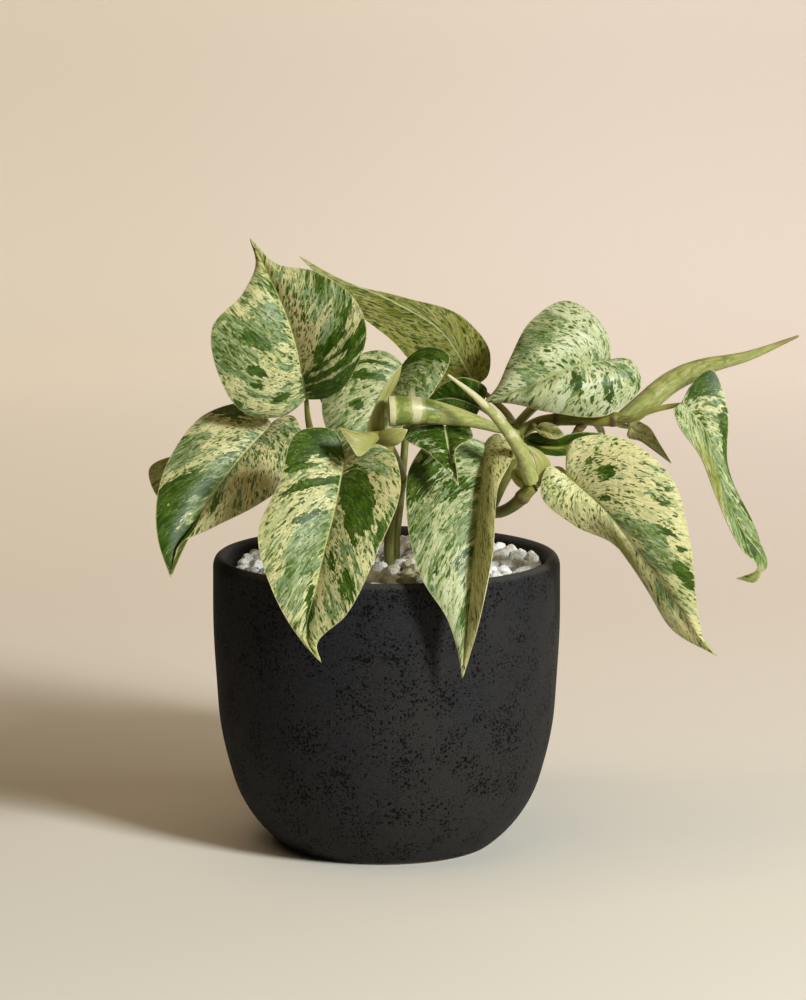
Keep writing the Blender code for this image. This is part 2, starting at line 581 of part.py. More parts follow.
def build_gravel(parts):
    """Pebbles over the whole mouth of the pot, raised from one slab by a formula."""
    tops = pebble_tops(random.Random(PEBBLE_SEED))
    reach = POT_RADIUS - POT_WALL - GAP
    half = reach + SLAB_MARGIN
    shape = bmesh.new()
    bmesh.ops.create_grid(shape, x_segments=GRAVEL_CELLS, y_segments=GRAVEL_CELLS, size=half * MM)
    for spot in shape.verts:
        spot.co.z = gravel_height(spot.co.x / MM, spot.co.y / MM, tops) * MM
    rim = [edge for edge in shape.edges if edge.is_boundary]
    skirt = bmesh.ops.extrude_edge_only(shape, edges=rim)
    low = [item for item in skirt["geom"] if isinstance(item, bmesh.types.BMVert)]
    for spot in low:
        spot.co.z = (SOIL_TOP - SLAB_DROP) * MM
    bmesh.ops.contextual_create(shape, geom=[e for e in shape.edges if e.is_boundary])
    bmesh.ops.triangulate(shape, faces=shape.faces)
    bmesh.ops.recalc_face_normals(shape, faces=shape.faces)
    gravel = add_object("gravel", mesh_from(shape, "gravel"), parts,
                        finish("white_pebbles", (0.72, 0.69, 0.6), 0.8))
    bottom = SOIL_TOP + GAP
    depth = (POT_HEIGHT + TOOL_REACH - bottom) * MM
    bpy.ops.mesh.primitive_cylinder_add(vertices=POT_SEGMENTS, radius=reach * MM, depth=depth,
                                        location=(0.0, 0.0, bottom * MM + depth / 2))
    cut_or_join(gravel, bpy.context.object, "INTERSECT")
    drill_stem_holes(gravel)


def build_stem(name, stem, blades, parts, group, material):
    """A vine or stem with its petioles and sheaths, fused into one body."""
    whole = None
    x, y = stem["foot"]
    heights = HOLE_BOTTOM, SOIL_TOP, POT_HEIGHT, POT_HEIGHT + STEM_RISE
    foot = [Vector((x, y, height)) * MM for height in heights]
    for number, part in enumerate(stem["tubes"]):
        route = [in_place(p) for p in part["route"]]
        radii = list(part["radii"])
        if number == 0:
            route = foot + route
            radii = [stem["radius"]] * 3 + radii
        if "blade" in part:
            blade = blades[part["blade"]]
            route.append(petiole_end(blade, route[-1], PETIOLE_TIP_RADIUS))
            radii.append(PETIOLE_TIP_RADIUS)
        straight = 0.0 if whole else (POT_HEIGHT - HOLE_BOTTOM) * MM
        piece = tube(name if whole is None else name + "_part", route, radii, group, straight)
        if whole is None:
            whole = piece
        else:
            cut_or_join(whole, piece, "UNION")
    for form in SHEATHS.get(name, ()):
        sheath = add_object(name + "_sheath", blade_sheet("sheath", Blade(form), *SHEATH_BLADE), group)
        thicken(sheath)
        piece = add_object(name + "_sheath", as_mesh(sheath), group)
        cut_or_join(whole, piece, "UNION")
    group.objects.unlink(whole)
    parts.objects.link(whole)
    whole.data.materials.clear()
    whole.data.materials.append(material)
    whole.data.shade_smooth()


def main():
    empty_scene()
    parts = new_collection("potted_plant")
    tools = new_collection("tools")
    build_pot(parts)
    build_soil(parts, tools)
    build_gravel(parts)
    marbled = finish("marbled_leaf", (0.32, 0.42, 0.17), 0.45)
    green = finish("green_stem", (0.2, 0.24, 0.07), 0.45)
    pale = finish("pale_shoot", (0.42, 0.48, 0.2), 0.4)
    blades = {}
    for name, form in LEAVES.items():
        blades[name] = Blade(form)
        steps = LARGE_BLADE if form["wave"] > 0 else SMALL_BLADE
        piece = add_object(name, blade_sheet(name, blades[name], *steps), parts, marbled)
        thicken(piece)
    for name, stem in STEMS.items():
        build_stem(name, stem, blades, parts, tools, green)
    for name, form in ROLLED.items():
        piece = tube(name, [in_place(p) for p in form["route"]], form["radii"], tools)
        tools.objects.unlink(piece)
        parts.objects.link(piece)
        piece.data.materials.clear()
        piece.data.materials.append(pale)
        piece.data.shade_smooth()


main()
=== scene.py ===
"""A marbled heart-leaved trailing plant in a charcoal pot: the looks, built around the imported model."""

import math
import random

import bmesh
import bpy
import numpy as np
from mathutils import Euler, Matrix, Vector, noise


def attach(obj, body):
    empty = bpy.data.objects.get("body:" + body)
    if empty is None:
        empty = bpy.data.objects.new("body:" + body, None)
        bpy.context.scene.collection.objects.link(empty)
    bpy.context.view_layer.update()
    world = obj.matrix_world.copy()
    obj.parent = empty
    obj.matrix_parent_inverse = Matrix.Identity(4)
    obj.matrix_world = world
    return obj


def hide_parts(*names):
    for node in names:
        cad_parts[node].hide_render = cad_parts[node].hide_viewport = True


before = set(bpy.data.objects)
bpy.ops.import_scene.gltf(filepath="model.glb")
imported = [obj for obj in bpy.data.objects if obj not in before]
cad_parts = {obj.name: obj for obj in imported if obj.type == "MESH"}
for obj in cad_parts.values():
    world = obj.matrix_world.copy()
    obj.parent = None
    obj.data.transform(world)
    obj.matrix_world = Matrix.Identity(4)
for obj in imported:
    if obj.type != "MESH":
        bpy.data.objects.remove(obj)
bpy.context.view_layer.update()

# The camera stands about 1.4 m in front of the pot and a little above it, with a long lens. Every outline
# of leaf and stem further down is drawn as seen from this eye, so that it falls where the real one does.
MM = 0.001
EYE = np.array((7.1, -1363.0, 365.3))
LOOKED_AT = np.array((7.1, 0.0, 149.4))
FOCAL_LENGTH = 115.2
SENSOR_WIDTH = 36.0
FARTHEST = 20.0

lens = bpy.data.cameras.new("camera")
lens.lens = FOCAL_LENGTH
lens.sensor_width = SENSOR_WIDTH
lens.clip_end = FARTHEST
camera = bpy.data.objects.new("camera", lens)
camera.location = EYE * MM
camera.rotation_euler = Vector(LOOKED_AT - EYE).to_track_quat("-Z", "Y").to_euler()
bpy.context.scene.collection.objects.link(camera)
bpy.context.scene.camera = camera
bpy.context.scene.view_settings.view_transform = "Standard"


# The pot is turned stoneware, straight above and curving in to a small foot. Its charcoal glaze is matt and
# full of darker specks, worn a little lighter along the lip, and the foot's edge is left bare.
POT_HEIGHT = 126.0
POT_RADIUS = 75.0
POT_WALL = 6.5
LIP_DROP = 5.0
LIP_CREST_RADIUS = 72.2
POT_FLOOR = 8.0
FOOT_RADIUS = 46.7
POT_SIDE = ((75.0, 121), (75.0, 94), (73.9, 73), (72.2, 52), (68.8, 36), (64.4, 22.5), (57.3, 10.8),
            (51.5, 4.4), (47.4, 0.9))
POT_INSIDE = ((40.0, 10), (49.0, 15), (56.6, 25), (61.8, 38), (65.4, 53), (67.3, 73), (68.4, 94),
              (68.5, 121))
SIDE_ROWS = 44
INSIDE_ROWS = 26
FOOT_BEVEL = 0.6
POT_STEPS = 144
POT_MERGE = 0.00002
WORN_LIP = 0.9
BARE_FOOT = 1.5
SHARP_ANGLE = 60


class Value:
    """A shader socket that Python's operators work on, each adding the node that it needs."""

    def __init__(self, finish, socket):
        self.finish = finish
        self.socket = socket

    def maths(self, operation, *others):
        inputs = dict(enumerate((self, *others)))
        return self.finish.node("Math", inputs, operation=operation)

    def __add__(self, other):
        return self.maths("ADD", other)

    __radd__ = __add__

    def __sub__(self, other):
        return self.maths("SUBTRACT", other)

    def __rsub__(self, other):
        return self.finish.node("Math", {0: other, 1: self}, operation="SUBTRACT")

    def __mul__(self, other):
        return self.maths("MULTIPLY", other)

    __rmul__ = __mul__

    def __truediv__(self, other):
        return self.maths("DIVIDE", other)

    def above(self, edge, softness):
        """1 where the value is above the edge, and 0 below it."""
        inputs = {0: self, 1: edge - softness, 2: edge + softness}
        return self.finish.node("MapRange", inputs, interpolation_type="SMOOTHSTEP")


class Finish:
    """A material and the nodes that make up its looks."""

    def __init__(self, name, **constants):
        self.material = bpy.data.materials.new(name)
        self.material.use_nodes = True
        self.tree = self.material.node_tree
        self.shader = self.tree.nodes["Principled BSDF"]
        for socket, value in constants.items():
            self.shader.inputs[socket.replace("_", " ").title().replace("Ior", "IOR")].default_value = value

    def feed(self, socket, value):
        if isinstance(value, Value):
            self.tree.links.new(value.socket, socket)
        else:
            socket.default_value = value

    def node(self, kind, inputs, output=0, **settings):
        """Any node: its settings are set first, and then its sockets' values or links."""
        made = self.tree.nodes.new("ShaderNode" + kind)
        for name, value in settings.items():
            setattr(made, name, value)
        for place, value in inputs.items():
            self.feed(made.inputs[place], value)
        return Value(self, made.outputs[output])

    def place(self):
        """A point's place on the piece, in metres."""
        return self.node("TexCoord", {}, output="Object")

    def attribute(self, name, output="Vector"):
        """What the piece's own mesh carries under a name."""
        return self.node("Attribute", {}, output=output, attribute_name=name)

    def part(self, vector, axis):
        """One of the three numbers of a vector or colour."""
        return self.node("SeparateXYZ", {0: vector}, output=axis)

    def scaled(self, vector, factors):
        return self.node("VectorMath", {0: vector, 1: factors}, operation="MULTIPLY")

    def moved(self, vector, offset, share):
        return self.node("VectorMath", {0: offset, 1: (share, share, share), 2: vector},
                         operation="MULTIPLY_ADD")

    def grain(self, vector, scale, detail=2.0, roughness=0.5, output=0):
        return self.node("TexNoise", {"Vector": vector, "Scale": scale, "Detail": detail,
                                      "Roughness": roughness}, output=output)

    def drawn_out(self, vector, factors, detail, roughness=0.6):
        """Noise that is stretched along some parts of a vector, where its factors are small."""
        return self.grain(self.scaled(vector, factors), 1.0, detail, roughness)

    def cells(self, vector, scale, output="Distance", **settings):
        return self.node("TexVoronoi", {"Vector": vector, "Scale": scale}, output=output, **settings)

    def blend(self, share, first, second):
        """A mix of two colours, all the second one where the share is 1."""
        return self.node("Mix", {0: share, 6: first, 7: second}, output=2, data_type="RGBA")

    def coated(self, tone, *coats):
        """A tone under coats of colour, one over another: each one's share, red, green and blue."""
        for share, *over in coats:
            tone = self.blend(share, tone, colour(*over))
        return tone

    def wear(self, **looks):
        """Feeds what changes over the surface to the shader."""
        for socket, value in looks.items():
            self.feed(self.shader.inputs[socket.replace("_", " ").title()], value)

    def bump(self, height, distance, strength=1.0):
        relief = self.node("Bump", {"Height": height, "Distance": distance, "Strength": strength})
        self.wear(normal=relief)

    def let_through(self, share, tint):
        """Lets a share of the light through, tinted, as a thin leaf does."""
        glow = self.node("BsdfTranslucent", {"Color": tint})
        mixed = self.node("MixShader", {0: share, 1: Value(self, self.shader.outputs[0]), 2: glow})
        self.feed(self.tree.nodes["Material Output"].inputs["Surface"], mixed)


def colour(red, green, blue):
    """A colour named by its 8-bit display values, as the shader wants it."""
    def linear(value):
        share = value / 255.0
        return share / 12.92 if share <= 0.04045 else ((share + 0.055) / 1.055)**2.4
    return linear(red), linear(green), linear(blue), 1.0


def smooth_path(points, count=200):
    """Evenly spaced points on a smooth curve through the given ones."""
    knots = np.array(points, dtype=float)
    gaps = np.linalg.norm(np.diff(knots, axis=0), axis=1)
    spots = np.concatenate([[0.0], np.cumsum(gaps)])
    slopes = np.gradient(knots, spots, axis=0)
    at = np.linspace(0.0, spots[-1], count)
    piece = np.clip(np.searchsorted(spots, at, side="right") - 1, 0, len(gaps) - 1)
    size = gaps[piece][:, None]
    t = ((at - spots[piece]) / gaps[piece])[:, None]
    curve = (knots[piece] * (2 * t**3 - 3 * t**2 + 1) + knots[piece + 1] * (3 * t**2 - 2 * t**3)
             + slopes[piece] * size * (t**3 - 2 * t**2 + t) + slopes[piece + 1] * size * (t**3 - t**2))
    run = np.concatenate([[0.0], np.cumsum(np.linalg.norm(np.diff(curve, axis=0), axis=1))])
    even = np.linspace(0.0, run[-1], count)
    return np.stack([np.interp(even, run, curve[:, axis]) for axis in range(knots.shape[1])], axis=1)


def add_piece(name, shape, *finishes, node=None, slot=None, sharp=SHARP_ANGLE):
    """Makes a bmesh a smooth piece of the plant, which rides with it and may stand for a node."""
    mesh = bpy.data.meshes.new(name)
    shape.to_mesh(mesh)
    shape.free()
    for finish in finishes:
        mesh.materials.append(finish.material)
    mesh.shade_smooth()
    mesh.set_sharp_from_angle(angle=math.radians(sharp))
    piece = bpy.data.objects.new(name, mesh)
    bpy.context.scene.collection.objects.link(piece)
    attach(piece, "root")
    if node:
        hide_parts(node)
    return piece


def pot_outline():
    """The pot's half section: up the inside, over the lip and down the side to the foot."""
    inner = LIP_CREST_RADIUS - POT_RADIUS + POT_WALL
    outer = POT_RADIUS - LIP_CREST_RADIUS
    lip = []
    for degrees in range(165, 10, -15):
        turn = math.radians(degrees)
        width = inner if degrees > 90 else outer
        height = POT_HEIGHT - LIP_DROP * (1 - math.sin(turn))
        lip.append((LIP_CREST_RADIUS + width * math.cos(turn), height))
    inside = [tuple(p) for p in smooth_path(POT_INSIDE, INSIDE_ROWS)]
    side = [tuple(p) for p in smooth_path(POT_SIDE, SIDE_ROWS)]
    return [(0.0, POT_FLOOR), *inside, *lip, *side, (FOOT_RADIUS - FOOT_BEVEL, 0.0), (0.0, 0.0)]


def stoneware():
    clay = Finish("charcoal_stoneware", roughness=0.7, specular_ior_level=0.1)
    place = clay.place()
    cloud = clay.grain(place, 11.0, 4.0, 0.6)
    grit = clay.grain(place, 1500.0, 2.0, 0.6)
    drift = clay.grain(place, 70.0, 4.0, 0.6)

    def dots(scale):
        """Round dots, each with a size of its own, thicker where the drift is high."""
        chance = clay.part(clay.cells(place, scale, "Color"), 0)
        return chance * 0.5 - clay.cells(place, scale) + drift * 1.2

    specks = dots(950.0).above(0.64, 0.05)
    blots = dots(600.0).above(0.69, 0.04)
    height = clay.part(place, 2)
    lip = (height + grit * 0.0015).above((POT_HEIGHT - WORN_LIP) * MM, 0.0012)
    bare = 1 - (height + drift * 0.0012).above(BARE_FOOT * MM, 0.0003)
    glaze = clay.coated(
        colour(33, 33, 37),
        (cloud.above(0.5, 0.15), 41, 40, 38),
        (grit.above(0.56, 0.08) * 0.5, 56, 55, 52),
        (specks * 0.9, 4, 4, 4),
        (blots * 0.95, 4, 4, 4),
        (lip * 0.4, 88, 84, 79),
        (bare * 0.7, 128, 100, 76))
    clay.wear(base_color=glaze, roughness=0.62 + 0.12 * grit)
    clay.bump(grit * 0.5 + drift * 0.7 - specks * 0.35 - blots * 0.3, 0.0003, 0.5)
    return clay


shape = bmesh.new()
corners = [shape.verts.new((radius * MM, 0.0, height * MM)) for radius, height in pot_outline()]
section = [shape.edges.new(pair) for pair in zip(corners, corners[1:])]
bmesh.ops.spin(shape, geom=corners + section, axis=(0, 0, 1), cent=(0, 0, 0), angle=2 * math.pi,
               steps=POT_STEPS, use_merge=True)
bmesh.ops.remove_doubles(shape, verts=shape.verts, dist=POT_MERGE)
bmesh.ops.recalc_face_normals(shape, faces=shape.faces)
add_piece("pot_body", shape, stoneware(), node="pot", slot="charcoal_ceramic", sharp=35)


# Potting soil fills the pot and shows only between the pebbles: dark, damp and crumbly, with paler bits of
# bark and perlite in it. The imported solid's shape is right, so it only gets a finish.
def potting_soil():
    soil = Finish("damp_soil", roughness=0.95, specular_ior_level=0.2)
    place = soil.place()
    crumbs = soil.grain(place, 260.0, 5.0, 0.7)
    lumps = soil.cells(place, 240.0)
    tone = soil.coated(
        colour(24, 17, 11),
        (crumbs.above(0.5, 0.2), 66, 49, 33),
        (soil.grain(place, 520.0, 1.0).above(0.7, 0.03), 150, 128, 96))
    soil.wear(base_color=tone)
    soil.bump(crumbs - lumps, 0.002)
    return soil


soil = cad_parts["soil"]
soil.data.materials.clear()
soil.data.materials.append(potting_soil().material)


# The pebbles are tumbled marble chips of 5 to 8 mm, white and cream; those near the middle stems are
# darkened olive as painted shade, for the shade of the leaves and stems above them. They lie loose in two
# layers. Each is a low rounded stone, flattened and turned at random, and none stands in a stem.
GRAVEL_EDGE_TOP = 120.3
GRAVEL_CROWN = 3.5
GRAVEL_TILT = 0.9
PEBBLE_SIZES = 2.6, 4.0
PEBBLE_SPACING = 0.84
PEBBLE_FULLNESS = 1.1
PEBBLE_LIFTS = 1.2, 3.6
PEBBLE_TINTS = 0.0, 0.1, 0.2, 0.3, 0.45, 0.6, 1.0
SQUASHES = (0.9, 1.3), (0.75, 1.0), (0.6, 0.9)
LAYERS = (0.0, 9000), (3.8, 5000)
WALL_GAP = 0.3
STEM_FEET = ((1, -12), (29, -16), (33, 2), (-12, 2), (-21, -6), (4, 3), (-6, 7), (-23, 7), (-11, 13),
             (12, 14), (24, 13))
STEM_CLEARANCE = 3.0
LUMPINESS = 0.3
FLATS = 7
FLAT_DEPTHS = 0.7, 0.92
FLAT_CUT = 0.9
SHADE_PAINT_PLACE = 16.0, -30.0
SHADE_PAINT_REACH = 14.0, 24.0
SHADE_PAINT_SHARES = 0.6, 1.6
LEANS = -0.5, 0.5
NOISE_SPAN = 0, 90


def gravel_top(x, y):
    reach = POT_RADIUS - POT_WALL
    crown = GRAVEL_CROWN * (1.0 - min(1.0, math.hypot(x, y) / reach)**2)
    return GRAVEL_EDGE_TOP + GRAVEL_TILT * x / reach + crown


def scatter(rng, tries):
    """Places for one layer of pebbles: (x, y, size), close together but not in each other."""
    found = []
    for _ in range(tries):
        size = rng.uniform(*PEBBLE_SIZES)
        turn = rng.uniform(0.0, 2.0 * math.pi)
        away = (POT_RADIUS - POT_WALL - WALL_GAP - size) * math.sqrt(rng.random())
        x, y = away * math.cos(turn), away * math.sin(turn)
        if any(math.hypot(x - a, y - b) < size * 0.8 + STEM_CLEARANCE for a, b in STEM_FEET):
            continue
        if all(math.hypot(x - a, y - b) > (size + other) * PEBBLE_SPACING for a, b, other in found):
            found.append((x, y, size))
    return found


def add_pebble(shape, layers, rng, x, y, size, top):
    """One pebble, lumpy and flattened, with its top near the given height."""
    tint, shade_paint = layers
    squash = Vector([rng.uniform(*span) for span in SQUASHES])
    lean = Euler((rng.uniform(*LEANS), rng.uniform(*LEANS), rng.uniform(0.0, 6.3))).to_matrix()
    born = bmesh.ops.create_icosphere(shape, subdivisions=2, radius=1.0)["verts"]
    seed = Vector([rng.uniform(*NOISE_SPAN) for _ in range(3)])
    shade = rng.choice(PEBBLE_TINTS)
    # Painted shade: near the middle stems a pebble gets a share of olive darkening, for the shade of the
    # leaves above.
    off_x, off_y = (x - SHADE_PAINT_PLACE[0]) / SHADE_PAINT_REACH[0], (y - SHADE_PAINT_PLACE[1]) / SHADE_PAINT_REACH[1]
    painted_shade = min(1.0, math.exp(-off_x**2 - off_y**2) * rng.uniform(*SHADE_PAINT_SHARES))
    flats = [(Vector([rng.gauss(0, 1) for _ in range(3)]).normalized(), rng.uniform(*FLAT_DEPTHS))
             for _ in range(FLATS)]
    for spot in born:
        lump = 1.0 + LUMPINESS * noise.noise(spot.co * 1.1 + seed)
        worn = spot.co * lump
        for facing, depth in flats:
            worn -= facing * max(0.0, worn.dot(facing) - depth) * FLAT_CUT
        body = lean @ (worn * size * PEBBLE_FULLNESS * squash)
        spot.co = Vector((x, y, top - size * squash.z)) * MM + body * MM
        spot[tint] = shade
        spot[shade_paint] = painted_shade


def pebble_stone():
    stone = Finish("marble_chips", roughness=0.6, specular_ior_level=0.4)
    place = stone.place()
    tint, shade_paint = (stone.attribute(name, "Fac") for name in ("tint", "shade_paint"))
    clouds = stone.grain(place, 260.0, 4.0, 0.6)
    dust = stone.grain(place, 1400.0, 3.0, 0.6)
    # The olive over the pebbles near the middle stems is painted shade, for the leaves' shade on them.
    tone = stone.coated(
        colour(252, 252, 250),
        (tint, 236, 233, 220),
        (shade_paint.above(0.4, 0.35) * 0.9, 150, 142, 84),
        (clouds.above(0.54, 0.1) * 0.4, 188, 187, 170),
        (dust.above(0.58, 0.07) * 0.45, 146, 145, 128))
    stone.wear(base_color=tone, roughness=0.5 + 0.3 * clouds)
    stone.bump(clouds + dust * 0.7, 0.0008, 1.0)
    return stone


rng = random.Random(23)
shape = bmesh.new()
layers = shape.verts.layers.float.new("tint"), shape.verts.layers.float.new("shade_paint")
for drop, tries in LAYERS:
    for x, y, size in scatter(rng, tries):
        add_pebble(shape, layers, rng, x, y, size, gravel_top(x, y) + rng.uniform(*PEBBLE_LIFTS) - drop)
add_piece("pebbles", shape, pebble_stone(), node="gravel", slot="white_pebbles", sharp=22)


# Stems and petioles: smooth olive-green tubes that stand in the soil and branch at their nodes, where a
# brown ring marks an old leaf's scar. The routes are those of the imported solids, point for point.
HOLE_BOTTOM = 92.0
SOIL_TOP = 112.0
STEM_SIDES = 18
STEM_STEP = 1.2
RING_WIDTH = 1.1
RING_SWELL = 0.16
TUBE_MERGE = 0.000005
SHADED_HEIGHT = 0.148
STEMS = {
    "vine_front": dict(foot=(1, -12), radius=2.2, tubes=(
        dict(route=((2.5, 146, -20), (6.5, 157, -32), (3, 168, -46), (-3, 177, -56)),
             radii=(2.2, 2.1, 2.4, 3.2), rings=(0.72,)),
        dict(route=((-1, 176, -57), (-8, 175.5, -60), (-13.5, 171.5, -60)),
             radii=(3.4, 3.2, 1.8), blade="leaf_front_left"),
    )),
    "vine_low": dict(foot=(29, -16), radius=2.3, tubes=(
        dict(route=((43, 143.5, -30), (50, 144.5, -38), (57, 149, -46), (62.5, 155.5, -50)),
             radii=(2.4, 2.5, 2.5, 3.2), rings=(0.6, 0.93)),
        dict(route=((63, 156, -49), (69, 160.5, -46), (73.5, 162.5, -45)),
             radii=(2.6, 2.0, 1.6), blade="leaf_right_low"),
    )),
    "vine_right": dict(foot=(33, 2), radius=2.3, tubes=(
        dict(route=((44, 144, -6), (49.5, 156, -12), (55, 167, -14), (57.5, 178, -13), (64, 182.5, -12),
                    (81, 184.5, -13), (95, 184.3, -14), (101.5, 184.8, -14.5)),
             radii=(2.3, 2.4, 2.5, 2.6, 2.6, 2.6, 2.7, 3.0), rings=(0.42, 0.62, 0.8, 0.97)),
        dict(route=((55, 181, -12), (63, 189.5, -2), (75, 199, 0), (88, 207, -6)),
             radii=(2.0, 2.0, 1.8, 1.4), blade="leaf_right_high"),
        dict(route=((98, 184, -15), (106, 185, -19), (113, 188, -19), (121, 190, -19)),
             radii=(1.7, 1.4, 1.3, 1.2), blade="leaf_far_right"),
        dict(route=((98, 183.5, -13), (101, 182, -10)), radii=(1.6, 1.3), blade="leaf_small_right"),
        dict(route=((58.5, 180, -12), (58.5, 178, -14)), radii=(1.6, 1.3), blade="leaf_striped_small"),
        dict(route=((63.5, 182, -13), (63.5, 181.5, -17)), radii=(1.6, 1.2), blade="leaf_pale_small"),
        dict(route=((89, 184, -13), (92, 180, -3), (94, 172, 6)),
             radii=(1.8, 1.6, 1.3), blade="leaf_right_back"),
        dict(route=((55.5, 169, -14), (52, 168, -24), (46, 169, -34)),
             radii=(1.8, 1.7, 1.3), blade="leaf_front_right"),
        dict(route=((56, 181, -12), (49, 184, -4), (43, 188, -1)),
             radii=(1.6, 1.5, 1.2), blade="leaf_dark_small"),
        dict(route=((56, 180, -11), (50, 189, 4), (42, 196, 6)),
             radii=(1.8, 1.6, 1.2), blade="leaf_top_back"),
        dict(route=((85.5, 184, -13), (82.5, 180, -14), (80, 176.5, -15)),
             radii=(2.0, 1.8, 1.2), rings=(0.3, 0.6, 0.9)),
    )),
    "stem_upper_left": dict(foot=(-12, 2), radius=1.8, tubes=(
        dict(route=((-17, 145, -4), (-27, 165, -10), (-33, 181, -16)),
             radii=(1.8, 1.7, 1.6, 1.5), blade="leaf_upper_left"),
    )),
    "stem_left": dict(foot=(-21, -6), radius=1.7, tubes=(
        dict(route=((-27, 143, -4), (-36, 162, 0), (-45, 177, -4)),
             radii=(1.7, 1.6, 1.5, 1.4), blade="leaf_left"),
    )),
    "stem_centre_back": dict(foot=(4, 3), radius=1.8, tubes=(
        dict(route=((6, 150, 2), (8, 175, 0), (9, 196, -2)),
             radii=(1.8, 1.7, 1.6, 1.5), blade="leaf_centre_back"),
    )),
    "stem_back_high": dict(foot=(-6, 7), radius=1.8, tubes=(
        dict(route=((-11, 148, 16), (-19, 172, 22), (-27, 193, 22)),
             radii=(1.8, 1.7, 1.6, 1.5), blade="leaf_back_high"),
    )),
    "stem_left_back": dict(foot=(-23, 7), radius=1.7, tubes=(
        dict(route=((-30, 145, 14), (-43, 163, 20), (-55, 175, 22)),
             radii=(1.7, 1.6, 1.5, 1.4), blade="leaf_left_back"),
    )),
    "stem_back_left": dict(foot=(-11, 13), radius=1.7, tubes=(
        dict(route=((-15, 140, 28), (-20, 156, 50), (-24, 158, 68)),
             radii=(1.7, 1.7, 1.6, 1.4), blade="leaf_back_left"),
    )),
    "stem_back_middle": dict(foot=(12, 14), radius=1.7, tubes=(
        dict(route=((18, 138, 30), (24, 149, 54), (27, 147, 74)),
             radii=(1.7, 1.7, 1.6, 1.4), blade="leaf_back_middle"),
    )),
    "stem_back_right": dict(foot=(24, 13), radius=1.7, tubes=(
        dict(route=((29, 138, 28), (36, 146, 50), (41, 142, 68), (47, 131, 80)),
             radii=(1.7, 1.7, 1.6, 1.5, 1.4), blade="leaf_back_right"),
    )),
}


def in_place(points):
    """The true places, in metres, of points (x, height, depth) drawn from the front."""
    drawn = np.atleast_2d(np.array(points, dtype=float))
    sight = np.stack([drawn[:, 0], np.zeros(len(drawn)), drawn[:, 1]], axis=1) - EYE
    return (EYE + sight * ((drawn[:, 2:] - EYE[1]) / -EYE[1])) * MM


def along(path, shares):
    """Points at shares, 0 to 1, of an evenly spaced path."""
    at = np.linspace(0.0, 1.0, len(path))
    return np.stack([np.interp(shares, at, path[:, axis]) for axis in range(3)], axis=-1)


def unit(vectors):
    return vectors / np.maximum(np.linalg.norm(vectors, axis=-1, keepdims=True), 1e-12)


def path_length(path):
    """The length, in mm, of a path in metres."""
    return np.linalg.norm(np.diff(path, axis=0), axis=1).sum() / MM


def square_on(path):
    """Two directions square to a path at each of its points, turning as little as they can."""
    heading = unit(np.gradient(path, axis=0))
    side = np.zeros_like(path)
    start = np.cross(heading[0], (0.0, 0.0, 1.0) if abs(heading[0][2]) < 0.9 else (1.0, 0.0, 0.0))
    side[0] = unit(start)
    for number in range(1, len(path)):
        carried = side[number - 1]
        side[number] = unit(carried - heading[number] * carried.dot(heading[number]))
    return side, np.cross(heading, side)


def add_sheet(shape, columns, rows):
    """A flat sheet to be bent into a form: its vertices, and their places from -1 to 1 each way."""
    born = bmesh.ops.create_grid(shape, x_segments=columns, y_segments=rows, size=1.0)["verts"]
    return born, np.array([tuple(spot.co) for spot in born])


def tube_places(path, turn, share, radius):
    """Places round a path in metres: at turns about it, shares along it and radii in mm."""
    centre, right, top = (along(track, share) for track in (path, *square_on(path)))
    out = right * np.cos(turn)[:, None] + top * np.sin(turn)[:, None]
    return centre + out * (radius * MM)[:, None]


def add_tube(shape, layers, route, radii, rings):
    """Adds a tapered tube along true points in metres, with its grain: twice across and once along."""
    grain, scar = layers
    path = smooth_path(route)
    length = path_length(path)
    steps = max(4, round(length / STEM_STEP))
    born, drawn = add_sheet(shape, STEM_SIDES, steps)
    turn = (drawn[:, 0] + 1.0) * math.pi
    share = (drawn[:, 1] + 1.0) / 2.0
    ring = sum((np.exp(-((share - mark) * length / RING_WIDTH)**2) for mark in rings), np.zeros(len(born)))
    radius = np.interp(share, np.linspace(0.0, 1.0, len(radii)), radii) * (1.0 + RING_SWELL * ring)
    places = tube_places(path, turn, share, radius)
    grains = np.stack([np.cos(turn) * radius, np.sin(turn) * radius, share * length], axis=1)
    for index, spot in enumerate(born):
        spot.co = places[index]
        spot[grain] = grains[index]
        spot[scar] = min(1.0, ring[index])
    bmesh.ops.remove_doubles(shape, verts=born, dist=TUBE_MERGE)
    bmesh.ops.holes_fill(shape, edges=[e for e in shape.edges if e.is_boundary], sides=STEM_SIDES + 2)


def stem_skin():
    skin = Finish("olive_stem", roughness=0.42, specular_ior_level=0.5, subsurface_weight=0.12,
                  subsurface_scale=0.004)
    skin.shader.inputs["Subsurface Radius"].default_value = (0.6, 0.8, 0.2)
    grain = skin.attribute("grain")
    scar = skin.attribute("scar", "Fac")
    stripes = skin.drawn_out(grain, (1.1, 1.1, 0.05), 3.0)
    clouds = skin.drawn_out(grain, (0.2, 0.2, 0.07), 3.0)
    purple = (stripes + clouds * 0.6 + scar * 0.25).above(0.97, 0.06)
    # Painted shade: below SHADED_HEIGHT the stems are darkened olive, for the shade of the leaves above
    # them.
    lit = skin.part(skin.place(), 2).above(SHADED_HEIGHT, 0.022)
    tone = skin.coated(
        colour(140, 134, 58),
        (clouds.above(0.5, 0.15), 104, 110, 42),
        (stripes.above(0.6, 0.06) * 0.7, 172, 172, 98),
        (stripes.above(0.3, 0.05) * -0.5 + 0.5, 70, 78, 24),
        (purple * 0.75, 74, 50, 44),
        (scar * 0.85, 88, 58, 40),
        ((1 - lit) * 0.6, 58, 60, 22))
    skin.wear(base_color=tone)
    skin.bump(stripes + scar, 0.0003, 0.5)
    return skin


stem_finish = stem_skin()


